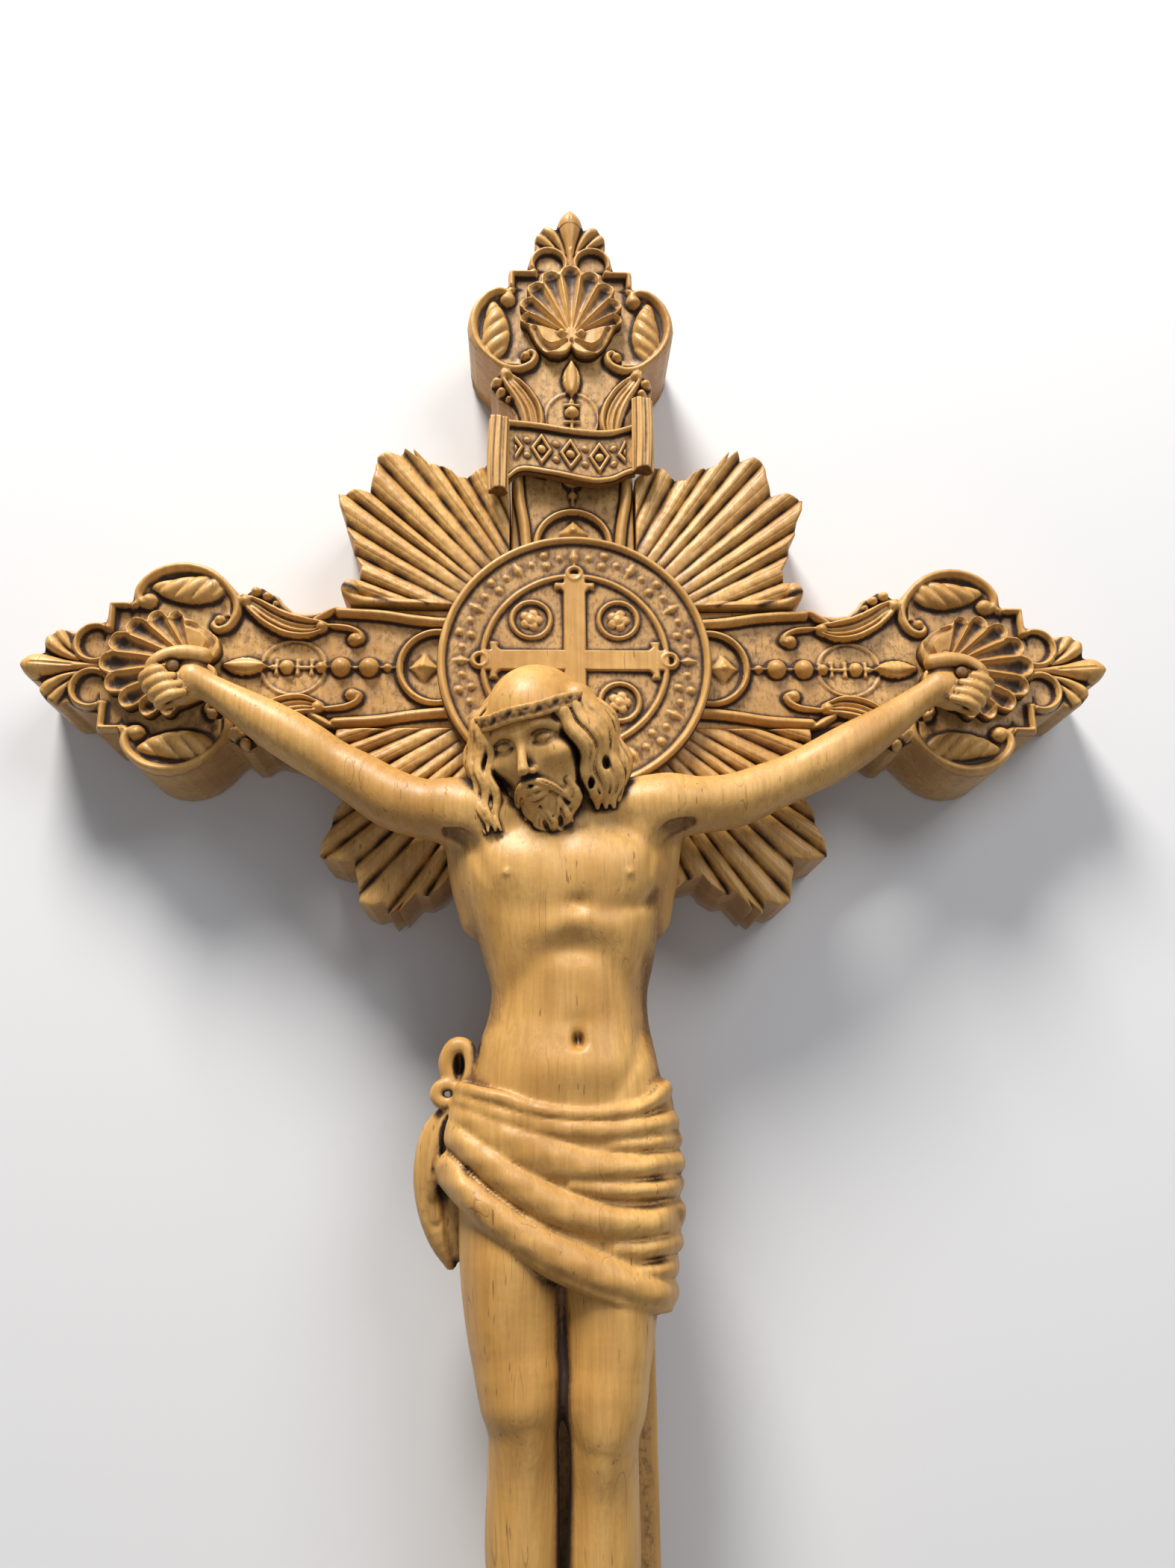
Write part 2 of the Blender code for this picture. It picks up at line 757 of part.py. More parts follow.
def flesh(name, forms, target, parent, voxel=FLESH_VOXEL, passes=4):
    """Forms run together into one rounded body: limbs as tapering tubes, masses as eggs. Each is
    given in millimetres, and a form that starts with a place is drawn in that place's own frame."""
    bm = bmesh.new()
    for form in forms:
        place = Matrix.Identity(4)
        if isinstance(form[0], Matrix):
            place, form = form[0], form[1:]
        if form[0] == "limb":
            path = [(*(place @ (Vector(point[:3]) * MM)), point[3] * MM) for point in form[1:]]
            limb = rope("limb", path, parent, 4, 3)
            bm.from_mesh(limb.data)
            mesh = limb.data
            bpy.data.objects.remove(limb, do_unlink=True)
            bpy.data.meshes.remove(mesh)
        else:
            centre, radii = form[1:3]
            place = place @ Matrix.Translation(Vector(centre) * MM)
            place = place @ Matrix.Diagonal((*(r * MM for r in radii), 1))
            bmesh.ops.create_icosphere(bm, subdivisions=3, radius=1, matrix=place)
    obj = object_from(bm, name, CUTTERS, parent)
    skin = obj.modifiers.new("Run together", "REMESH")
    skin.mode = "VOXEL"
    skin.voxel_size = voxel
    skin.adaptivity = 0
    smooth = obj.modifiers.new("Smooth", "SMOOTH")
    smooth.factor = 0.5
    smooth.iterations = passes
    bpy.context.view_layer.update()
    graph = bpy.context.evaluated_depsgraph_get()
    evaluated = obj.evaluated_get(graph)
    mesh = evaluated.to_mesh()
    faces = sum(len(face.vertices) - 2 for face in mesh.polygons)
    evaluated.to_mesh_clear()
    thin = obj.modifiers.new("Thin", "DECIMATE")
    thin.ratio = min(1.0, target / faces)
    return obj


# The figure's forms, in millimetres on the bench: limbs run through (x, y, z, radius), and masses
# are eggs with a centre and three half-lengths
RIGHT_ARM = [
    ("limb", (-13.0, -28.0, 23.2, 5.2), (-18.5, -26.8, 23.4, 5.0), (-23.5, -26.3, 23.0, 4.7),
     (-28.5, -24.6, 22.6, 4.6), (-33.5, -21.4, 22.3, 4.2), (-38.0, -18.6, 22.0, 3.8),
     (-42.0, -16.0, 22.0, 4.0), (-47.0, -12.8, 21.8, 3.8), (-52.5, -9.3, 21.4, 3.0),
     (-57.2, -6.4, 21.2, 2.4), (-60.5, -4.6, 21.4, 2.3)),
]
LEFT_ARM = [
    ("limb", (9.0, -26.6, 23.2, 5.0), (14.5, -25.8, 23.4, 4.8), (19.5, -25.6, 23.0, 4.5),
     (24.5, -24.8, 22.6, 4.3), (29.5, -22.8, 22.3, 4.0), (34.5, -20.6, 22.0, 3.8),
     (39.0, -18.4, 22.0, 4.0), (44.5, -15.2, 21.8, 3.8), (50.0, -11.6, 21.4, 3.1),
     (55.2, -7.8, 21.2, 2.45), (59.0, -5.4, 21.4, 2.35)),
]
HAND_HEIGHT = 22.4
HAND_TURN = math.radians(30)
HANDS = {"right": (-1, 62.6, -3.9), "left": (1, 61.6, -4.4)}


def hand_spot(hand, along, across, out=0.0):
    """A place in a hand's own drawing, along the fingers and across them towards the thumb."""
    side, x, y = HANDS[hand]
    c, s = math.cos(HAND_TURN), math.sin(HAND_TURN)
    return side * (x + c * along + s * across), y + c * across - s * along, HAND_HEIGHT + out


def hand_forms(hand):
    """A loosely closed hand: the palm, the thumb over its top and four curled fingers."""
    forms = [
        ("egg", hand_spot(hand, -0.6, -0.9, -1.6), (3.7, 3.3, 2.3)),
        ("egg", hand_spot(hand, 1.2, -2.6, -1.4), (2.8, 1.9, 2.1)),
    ]
    thumb = ((-4.4, 1.0, -0.6, 1.5), (-2.2, 2.5, 0.2, 1.35), (0.4, 3.4, 0.9, 1.1),
             (2.6, 3.1, 1.2, 1.0), (3.6, 2.6, 1.0, 0.8))
    forms.append(("limb", *((*hand_spot(hand, *knot[:3]), knot[3]) for knot in thumb)))
    for across, reach, radius in ((1.3, 0.5, 0.95), (-0.3, 0.55, 1.0), (-1.9, 0.45, 0.95),
                                  (-3.4, 0.25, 0.85)):
        finger = ((2.6, 0.1, -1.6), (4.4, 0.0, -0.5), (4.1, 0.0, 1.1), (2.2, -0.2, 1.5),
                  (0.6, -0.3, 0.7))
        forms.append(
            ("limb", *((*hand_spot(hand, along + reach, across + drop, out), radius)
                       for along, drop, out in finger))
        )
    return forms


HEAD_AT = Vector((-6.2, -16.6, 27.0)) * MM
HEAD_PLACE = (
    Matrix.Translation(HEAD_AT)
    @ Matrix.Rotation(math.radians(8), 4, "Z")
    @ Matrix.Rotation(math.radians(-24), 4, "Y")
    @ Matrix.Rotation(math.radians(17), 4, "X")
)
# A plain head on the usual proportions, drawn upright about its middle and looking along z
HEAD = [
    ("egg", (0, 3.2, -0.8), (7.3, 8.2, 8.0)),
    ("egg", (0, -2.6, 1.4), (6.0, 7.4, 6.0)),
    ("egg", (0, -9.4, 2.8), (4.5, 4.3, 4.5)),
    ("egg", (-4.0, -2.8, 4.2), (2.4, 2.0, 2.4)),
    ("egg", (4.0, -2.8, 4.2), (2.4, 2.0, 2.4)),
    ("limb", (0, 2.2, 6.6, 0.9), (0, -0.4, 7.6, 0.9), (0, -2.6, 8.7, 1.0), (0, -4.0, 9.3, 1.2)),
    ("limb", (-5.2, 1.3, 5.0, 0.9), (-3.0, 2.2, 6.7, 1.0), (-0.9, 1.7, 6.9, 0.9)),
    ("limb", (5.2, 1.3, 5.0, 0.9), (3.0, 2.2, 6.7, 1.0), (0.9, 1.7, 6.9, 0.9)),
    ("limb", (-3.4, -8.4, 5.8, 0.7), (0, -6.3, 7.7, 0.9), (3.4, -8.4, 5.8, 0.7)),
    ("egg", (0, 2.2, -3.6), (8.4, 9.2, 6.4)),
]
EYES = ((-3.0, -0.1, 8.0), (3.0, -0.1, 8.0))
EYE_SIZE = (1.7, 1.1, 1.7)
MOUTH = ((-2.0, -7.5, 7.6), (2.0, -7.5, 7.6))
MOUTH_WIDTH = 0.35
HAIR = [
    ("limb", (-3.0, -35.0, 22.0, 5.0), (-4.6, -22.0, 24.4, 5.4)),
    ("limb", (-12.4, -9.8, 25.0, 2.4), (-14.3, -15.0, 25.8, 2.7), (-14.0, -20.5, 26.2, 2.6),
     (-13.3, -26.0, 26.6, 2.2), (-12.4, -30.4, 27.0, 1.5)),
    ("limb", (-11.4, -11.0, 28.6, 1.8), (-12.8, -16.0, 28.4, 2.0), (-12.4, -21.0, 28.0, 1.8),
     (-12.6, -26.0, 27.8, 1.5)),
    ("limb", (0.6, -8.8, 27.0, 2.6), (3.4, -13.5, 27.0, 3.0), (5.0, -19.0, 26.6, 3.0),
     (5.6, -24.0, 26.6, 2.3), (5.0, -27.0, 26.8, 1.5)),
    ("limb", (-0.2, -10.5, 31.0, 1.9), (1.6, -15.0, 30.4, 2.3), (2.4, -20.0, 29.4, 2.2),
     (3.2, -25.0, 28.2, 1.6)),
]
TORSO = [
    ("egg", (-2.6, -38.0, 21.6), (16.4, 12.0, 8.2)),
    ("egg", (-9.6, -36.6, 25.2), (7.6, 5.8, 5.2)),
    ("egg", (4.6, -36.0, 25.2), (7.4, 5.8, 5.2)),
    ("egg", (-2.3, -44.5, 21.2), (14.2, 10.5, 8.4)),
    ("egg", (-1.6, -54.0, 20.8), (12.2, 12.0, 8.0)),
    ("egg", (-1.8, -64.0, 20.8), (13.2, 9.5, 8.8)),
    ("limb", (-17.0, -26.9, 22.8, 4.6), (-10.0, -27.4, 22.6, 4.4), (-3.0, -28.8, 21.6, 4.6),
     (6.0, -26.8, 22.6, 4.2), (13.0, -25.8, 22.8, 4.4)),
    ("limb", (-19.0, -30.0, 20.8, 3.0), (-18.2, -36.0, 20.8, 3.2), (-16.2, -43.0, 20.0, 2.6)),
    ("limb", (14.6, -29.0, 20.8, 2.8), (13.2, -35.6, 20.8, 3.0), (11.8, -43.0, 20.0, 2.4)),
]
LEGS = [
    ("limb", (-9.4, -78.0, 20.6, 8.4), (-9.6, -90.0, 21.6, 7.8), (-9.4, -99.0, 22.2, 6.9),
     (-8.6, -108.0, 23.6, 5.5), (-8.2, -112.0, 23.2, 4.9), (-8.2, -118.0, 21.8, 5.0),
     (-8.2, -127.5, 21.0, 5.1), (-7.2, -137.0, 20.4, 4.3), (-5.8, -145.0, 20.2, 3.5),
     (-5.0, -151.0, 20.4, 3.1)),
    ("limb", (3.4, -80.0, 20.6, 8.4), (3.2, -91.0, 21.6, 7.8), (3.2, -100.0, 22.2, 6.9),
     (2.8, -110.0, 23.6, 5.4), (2.6, -114.5, 23.0, 4.8), (2.6, -120.0, 21.6, 4.9),
     (2.4, -129.5, 20.8, 5.1), (1.8, -139.0, 20.2, 4.3), (0.6, -146.5, 20.4, 3.5),
     (-0.2, -152.5, 20.8, 3.1)),
    ("limb", (-3.0, -88.0, 18.4, 3.4), (-3.0, -120.0, 18.4, 3.0), (-3.0, -150.0, 18.2, 2.8)),
    ("egg", (-8.2, -108.6, 27.0), (2.8, 3.1, 2.2)),
    ("egg", (2.6, -111.6, 26.8), (2.7, 3.0, 2.2)),
]


def foot_forms(heel, ball, first_toe):
    """A foot from its ankle to its ball, and five toes in a slant from the large one."""
    x, y, z = ball
    forms = [
        ("limb", (*heel, 3.1), ((heel[0] + x) / 2, (heel[1] + y) / 2, heel[2] + 0.8, 3.0),
         (x, y, z, 2.4)),
        ("egg", (x, y, z - 0.4), (3.2, 2.2, 1.7)),
    ]
    for toe in range(5):
        across = x + first_toe * (2 - toe) * 1.25
        radius = 1.0 - 0.08 * toe
        reach = y - 3.4 + 0.35 * toe
        forms.append(("limb", (across, y, z, radius), (across, reach, z - 0.3, radius)))
    return forms


FEET = foot_forms((-0.4, -151.5, 20.2), (-0.2, -160.6, 19.4), -1)
FEET += foot_forms((-4.8, -150.5, 21.4), (-4.2, -160.0, 20.8), 1)

CLOTH_MIDDLE = -2.6
CLOTH_HALF = 17.0
CLOTH_BACK = 20.4
CLOTH_DEPTH = 9.4


def fold(*points):
    """A fold of the loincloth through (x, y, radius), lying on the cloth's rounded front."""
    path = []
    for x, y, radius in points:
        across = min(abs(x - CLOTH_MIDDLE) / CLOTH_HALF, 1.0)
        path.append((x, y, CLOTH_BACK + CLOTH_DEPTH * (1 - across**2.3) ** (1 / 2.3), radius))
    return ("limb", *path)


LOINCLOTH = [
    ("egg", (-2.6, -76.0, 21.0), (16.4, 11.5, 9.0)),
    ("egg", (-2.4, -85.5, 21.2), (15.8, 13.0, 8.8)),
    fold((-17.6, -69.5, 1.4), (-11.0, -70.4, 1.3), (-3.2, -71.8, 1.2), (4.6, -71.3, 1.2),
         (11.8, -69.0, 1.1)),
    fold((-17.6, -71.8, 1.4), (-11.4, -73.8, 1.4), (-4.6, -76.0, 1.4), (3.0, -76.8, 1.4),
         (9.6, -75.6, 1.2), (13.0, -74.6, 1.1)),
    fold((-17.6, -74.6, 1.4), (-11.8, -77.6, 1.4), (-5.0, -80.6, 1.3), (2.0, -81.6, 1.2),
         (9.0, -80.6, 1.0), (13.0, -79.8, 1.0)),
    fold((-17.6, -77.4, 1.4), (-12.0, -80.8, 1.5), (-5.4, -85.0, 1.5), (1.4, -87.2, 1.5),
         (8.0, -86.8, 1.3), (13.0, -85.6, 1.1)),
    fold((-3.0, -90.6, 0.9), (3.0, -91.6, 1.2), (8.6, -91.0, 1.2), (12.4, -89.8, 1.0)),
    fold((-17.6, -80.5, 1.5), (-13.4, -84.0, 1.6), (-7.6, -89.2, 1.7), (-1.0, -93.6, 1.7),
         (5.0, -96.4, 1.6), (10.4, -97.8, 1.4)),
    ("egg", (-17.6, -67.6, 21.8), (2.7, 2.4, 2.8)),
    ("limb", (-16.4, -67.6, 21.6, 1.3), (-15.6, -64.8, 21.8, 1.4), (-17.0, -61.6, 21.8, 1.4),
     (-19.2, -62.6, 21.4, 1.3), (-19.0, -65.4, 21.4, 1.2)),
    ("limb", (-18.2, -68.6, 20.6, 1.8), (-21.0, -73.0, 19.8, 2.3), (-22.0, -78.6, 19.4, 2.6),
     (-21.2, -85.0, 18.9, 2.6), (-19.0, -90.0, 18.4, 2.1), (-17.6, -93.0, 18.2, 1.2)),
    ("limb", (-18.6, -69.0, 22.0, 1.2), (-20.4, -74.0, 21.8, 1.5), (-20.6, -79.6, 21.2, 1.5),
     (-20.0, -83.6, 20.6, 0.9)),
    ("limb", (-16.8, -76.0, 19.6, 2.8), (-17.4, -84.0, 18.8, 2.8), (-16.8, -90.0, 18.2, 1.8)),
]
CROWN = (
    HEAD_PLACE
    @ Matrix.Translation(Vector((0, 4.6, -1.0)) * MM)
    @ Matrix.Rotation(math.radians(-88), 4, "X")
)
CROWN_REACH = (8.5 * MM, 8.6 * MM)


def crown_ring(name, radius, parent):
    points = []
    knots = 18
    for step in range(knots):
        turn = step * math.tau / knots
        spot = Vector((CROWN_REACH[0] * math.cos(turn), CROWN_REACH[1] * math.sin(turn), 0))
        points.append((*(CROWN @ spot), radius * (1.0 + 0.12 * (-1) ** step), False))
    curve = new_curve(name, points, closed=True, resolution=1)
    curve.data.bevel_depth = 1.0
    curve.data.bevel_resolution = 1
    return mesh_from_curve(curve, parent)


# A hand's nail stands in the hollow between its thumb and its fingers
HAND_NAILS = {
    hand: Vector(hand_spot(hand, 0.3, 1.3, 0.1)) * MM for hand in HANDS
}
FOOT_NAIL = Vector((-2.3, -155.0, 24.4)) * MM
BODY_DOWELS = {"chest": (-2.2 * MM, -50.0 * MM), "hip": (-2.2 * MM, -82.0 * MM)}
SHOULDERS = {
    "right": (RIGHT_SHOULDER_CUT, -26.2 * MM, 23.4 * MM),
    "left": (LEFT_SHOULDER_CUT, -25.4 * MM, 23.3 * MM),
}
RAYS_REACH = 42.0 * MM


def backs(group, low_hands=False):
    """What the corpus stands clear of: the boards' ground, the rims and rays, and the medal."""
    over = CLEARANCE
    made = [
        block("ground", (-FAR, -FAR, -FAR), (FAR, FAR, GROUND + over), bench),
        block("rims", (-FAR, -RAYS_REACH, -FAR), (FAR, FAR, BOARD_THICKNESS + over), bench),
        rod("over_medal", (0, 0, -FAR), (0, 0, MEDAL_TOP + over), MEDAL_RADIUS + over, bench,
            segments=40),
    ]
    if low_hands:
        for side in (-1, 1):
            near = side * (SHELL_BASE - 3 * MM)
            far = side * FAR
            made.append(
                block("shell", (min(near, far), -FAR / 2, -FAR / 2),
                      (max(near, far), FAR / 2, SHELL_TOP + over), bench)
            )
    for obj in made:
        as_helper(obj, group)


def make_corpus():
    cuts = helper_group("cuts of the corpus")
    backs(cuts)
    half = CLEARANCE / 2
    for side, plane in ((-1, RIGHT_SHOULDER_CUT), (1, LEFT_SHOULDER_CUT)):
        near = plane - side * half
        far = side * FAR
        # The loincloth's tail hangs wider than the shoulder, so the cut stops above the waist
        as_helper(
            block("shoulder", (min(near, far), -50 * MM, -FAR), (max(near, far), FAR, FAR), bench),
            cuts,
        )
    as_helper(crown_ring("crown_seat", CROWN_RADIUS + CLEARANCE, bench), cuts)
    as_helper(nail_bore(FOOT_NAIL), cuts)
    as_helper(nail_head_seat(FOOT_NAIL), cuts)
    for eye in EYES:
        socket = egg("eye_socket", (0, 0, 0), [r * MM for r in EYE_SIZE], bench)
        socket.matrix_local = HEAD_PLACE @ Matrix.Translation(Vector(eye) * MM)
        as_helper(socket, cuts)
    ends = [HEAD_PLACE @ (Vector(end) * MM) for end in MOUTH]
    as_helper(rod("mouth", *ends, MOUTH_WIDTH * MM, bench, segments=6), cuts)
    forms = [(HEAD_PLACE, *form) for form in HEAD] + HAIR + TORSO + LEGS + FEET + LOINCLOTH
    body = flesh("corpus", forms + RIGHT_ARM + LEFT_ARM, CORPUS_FACES, bench)
    boolean(body, cuts, "DIFFERENCE")
    as_part(body, "corpus", wood("corpus", WOOD, 0.36))
    return cuts


def make_arm(side, forms, plane):
    name = "corpus_" + side + "_arm"
    cuts = helper_group("cuts of the " + name)
    backs(cuts, low_hands=True)
    hand = math.copysign(1, plane)
    near = plane + hand * CLEARANCE / 2
    far = -hand * FAR
    as_helper(
        block("body", (min(near, far), -FAR, -FAR * 1.1), (max(near, far), FAR, FAR * 1.1), bench),
        cuts,
    )
    as_helper(nail_bore(HAND_NAILS[side]), cuts)
    as_helper(nail_head_seat(HAND_NAILS[side]), cuts)
    arm = flesh(name, forms + hand_forms(side), ARM_FACES, bench, voxel=ARM_VOXEL)
    boolean(arm, cuts, "DIFFERENCE")
    as_part(arm, name, wood(name, WOOD, 0.36))
    return cuts


def make_crown():
    cuts = helper_group("cuts of the crown")
    backs(cuts)
    crown = crown_ring("crown", CROWN_RADIUS, bench)
    boolean(crown, cuts, "DIFFERENCE")
    as_part(crown, "crown_of_thorns", wood("crown_of_thorns", WOOD_DARK, 0.42))


def main():
    lap = GROUND / 2
    medal_seat = helper_group("seat of the medal")
    as_helper(
        rod("medal_seat", (0, 0, GROUND - MEDAL_LET_IN), (0, 0, FAR),
            MEDAL_RADIUS + CLEARANCE, bench, segments=40),
        medal_seat,
    )

    upright = plate("upright", board_outline(TOP_SHIFT, LOWER_SHIFT), 0, GROUND, bench, 2)
    carving = helper_group("carving of the upright")
    for arm_name in ("top", "bottom"):
        carve_end(ARMS[arm_name], carving)
    carve_crossing_end(ARMS["top"], carving, TOP_SHIFT)
    boolean(upright, carving, "UNION")
    upright_cuts = helper_group("cuts of the upright")
    reach = HALF_BEAM + CLEARANCE
    half = CLEARANCE / 2
    as_helper(
        block("lap", (-FAR, -reach, lap - half), (FAR, reach, FAR), bench), upright_cuts
    )
    for arm_name in ("top", "bottom"):
        shell_seat(arm_name, upright_cuts)
    keyhole(upright_cuts)
    as_helper(nail_bore(FOOT_NAIL), upright_cuts)

    crossbar = plate("crossbar", board_outline(0, 0), 0, GROUND, ARMS["left"], 2)
    bar_carving = helper_group("carving of the crossbar")
    for arm_name in ("left", "right"):
        carve_end(ARMS[arm_name], bar_carving)
        carve_crossing_end(ARMS[arm_name], bar_carving)
    for side in (-1, 1):
        web = [
            (side * x * MM, y * MM, True)
            for x, y in ((39.1, -9.0), (39.1, -19.0), (47.0, -13.9), (57.0, -12.0), (58.0, -9.0))
        ]
        as_helper(plate("web", web, 0.3 * MM, GROUND - 0.3 * MM, bench), bar_carving)
    boolean(crossbar, bar_carving, "UNION")
    bar_cuts = helper_group("cuts of the crossbar")
    as_helper(block("lap", (-reach, -FAR, -FAR), (reach, FAR, lap + half), bench), bar_cuts)
    for arm_name in ("left", "right"):
        shell_seat(arm_name, bar_cuts)
    for place in HAND_NAILS.values():
        as_helper(nail_bore(place), bar_cuts)

    corpus_cuts = make_corpus()
    arm_cuts = {
        "right": make_arm("right", RIGHT_ARM, RIGHT_SHOULDER_CUT),
        "left": make_arm("left", LEFT_ARM, LEFT_SHOULDER_CUT),
    }
    make_crown()
    for side, place in HAND_NAILS.items():
        make_nail("nail_" + side + "_hand", place)
    make_nail("nail_feet", FOOT_NAIL)
    for name, (x, y) in BODY_DOWELS.items():
        low = GROUND - DOWEL_LENGTH / 2
        dowel("dowel_" + name, (x, y, low), (x, y, low + DOWEL_LENGTH), DOWEL_RADIUS,
              (upright_cuts, corpus_cuts))
    for side, (x, y, z) in SHOULDERS.items():
        away = SHOULDER_DOWEL_LENGTH / 2
        dowel("dowel_" + side + "_shoulder", (x - away, y, z), (x + away, y, z),
              SHOULDER_DOWEL_RADIUS, (corpus_cuts, arm_cuts[side]))
    titulus_cuts = helper_group("bores of the titulus")
    for side, name in ((-1, "titulus_pin_left"), (1, "titulus_pin_right")):
        x = side * TITULUS_WIDTH / 4
        dowel(name, (x, TITULUS_HEIGHT, GROUND - PIN_DEPTH),
              (x, TITULUS_HEIGHT, BOARD_THICKNESS + CLEARANCE + TITULUS_THICKNESS * 0.5),
              PIN_RADIUS, (upright_cuts, titulus_cuts))

    boolean(upright, medal_seat, "DIFFERENCE")
    boolean(upright, upright_cuts, "DIFFERENCE")
    as_part(upright, "upright", wood("upright", WOOD, 0.42))
    boolean(crossbar, medal_seat, "DIFFERENCE")
    boolean(crossbar, bar_cuts, "DIFFERENCE")
    as_part(crossbar, "crossbar", wood("crossbar", WOOD, 0.42))
    for name, side, height in (
        ("rays_top_left", -1, 1), ("rays_top_right", 1, 1),
        ("rays_bottom_left", -1, -1), ("rays_bottom_right", 1, -1),
    ):
        make_ray_panel(name, side, height, medal_seat)
    make_medal()
    make_titulus(titulus_cuts)
    make_shell("top")
    make_shell("bottom")
    make_shell("left", HAND_NAILS["right"])
    make_shell("right", HAND_NAILS["left"])
    make_joins()


main()
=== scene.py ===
"""The looks of a carved wall crucifix: waxed beech boards with scrolls and shells, a ray medal,
a banner and a corpus, seen from the photograph's place.

Drawings are in millimetres on the bench, as in the part's own drawings: x to the right, y up the
cross from the middle of the medal, and z out from the wall. on_wall() stands them up in the
frame's metres. Along an arm, s is the distance from its crossing and t the distance from its
middle line.
"""

import math

import bpy
import numpy as np
from mathutils import Matrix, Vector


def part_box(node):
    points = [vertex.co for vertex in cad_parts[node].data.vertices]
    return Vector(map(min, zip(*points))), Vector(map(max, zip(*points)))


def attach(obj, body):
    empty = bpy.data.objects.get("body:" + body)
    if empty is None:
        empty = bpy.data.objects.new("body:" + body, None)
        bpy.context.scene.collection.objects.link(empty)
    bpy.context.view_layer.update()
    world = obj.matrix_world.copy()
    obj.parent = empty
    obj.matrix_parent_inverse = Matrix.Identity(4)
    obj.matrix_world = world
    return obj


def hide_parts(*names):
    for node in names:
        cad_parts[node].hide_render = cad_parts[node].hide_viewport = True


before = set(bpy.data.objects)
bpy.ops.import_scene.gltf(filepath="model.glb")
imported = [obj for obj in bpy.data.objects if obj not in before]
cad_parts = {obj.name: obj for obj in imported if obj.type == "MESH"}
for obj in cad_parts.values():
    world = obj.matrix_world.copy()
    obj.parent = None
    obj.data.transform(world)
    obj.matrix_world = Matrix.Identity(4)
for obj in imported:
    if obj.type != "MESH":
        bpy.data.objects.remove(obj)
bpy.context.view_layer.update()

MM = 0.001


def node_size(node):
    """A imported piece's lowest and highest corners in bench millimetres: x, y up, z out."""
    low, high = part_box(node)
    return (
        np.array([low.x, low.z, -high.y]) / MM,
        np.array([high.x, high.z, -low.y]) / MM,
    )


MEDAL_LOW, MEDAL_HIGH = node_size("medal")
HANGER_HEIGHT = -(MEDAL_LOW[1] + MEDAL_HIGH[1]) / 2
MEDAL_RADIUS = (MEDAL_HIGH[0] - MEDAL_LOW[0]) / 2
MEDAL_TOP = MEDAL_HIGH[2]
UPRIGHT_LOW, UPRIGHT_HIGH = node_size("upright")
ARM_REACH = node_size("crossbar")[1][0]
TOP_SHIFT = UPRIGHT_HIGH[1] + HANGER_HEIGHT - ARM_REACH
FOOT_SHIFT = -UPRIGHT_LOW[1] - HANGER_HEIGHT - ARM_REACH
# The boards' flat ground out from the wall, the usual rise of a moulding on it, half-widths of the
# beam, the neck and the scrolls, the gap of a joint, the fillet at a moulding's foot, the rounding
# of the boards' edges, and how dark their side walls are kept: dark wax with painted shade
RELIEF = 1.5
GROUND = 15.0
RIM = GROUND + RELIEF
HALF_BEAM = 10.6
HALF_NECK = 9.9
HALF_SCROLL = 18.8
JOINT = 0.15
FILLET = 0.12
EDGE = 0.55
WALL_WAX_AND_SHADE = 0.16

# Where an arm's own drawing lies on the bench: its turn and how far its crossing is moved out
ARMS = {
    "top": (0.0, TOP_SHIFT),
    "left": (math.pi / 2, 0.0),
    "bottom": (math.pi, FOOT_SHIFT),
    "right": (-math.pi / 2, 0.0),
}


def on_wall(x, y, z):
    """Bench millimetres, stood up in the frame: x stays, y up becomes Z and z out becomes -Y."""
    x, y, z = np.broadcast_arrays(x, y, z)
    return np.stack([x, -z, y - HANGER_HEIGHT], axis=-1) * MM


def on_arm(arm, s, t, z):
    """A place on an arm, turned and moved to its own place on the bench, then stood up."""
    turn, shift = ARMS[arm]
    along = s + shift
    x = t * math.cos(turn) - along * math.sin(turn)
    y = t * math.sin(turn) + along * math.cos(turn)
    return on_wall(x, y, z)


# Meshes


def full_turn(count):
    """Angles evenly round a circle."""
    return np.linspace(0, math.tau, count, endpoint=False)


def abreast(*parts):
    """Grids joined side by side."""
    return np.concatenate(parts, axis=1)


def stacked(*parts):
    """Grids joined one under the other."""
    return np.concatenate(parts)


def new_object(name, data):
    """An object put into the scene."""
    obj = bpy.data.objects.new(name, data)
    bpy.context.scene.collection.objects.link(obj)
    return obj


def tube_faces(rows, ring):
    """Four-sided faces round a closed ring carried over the rows."""
    first = np.arange(rows - 1)[:, None] * ring + np.arange(ring)
    after = np.arange(rows - 1)[:, None] * ring + (np.arange(ring) + 1) % ring
    return np.stack([first, after, after + ring, first + ring], axis=-1).reshape(-1, 4)


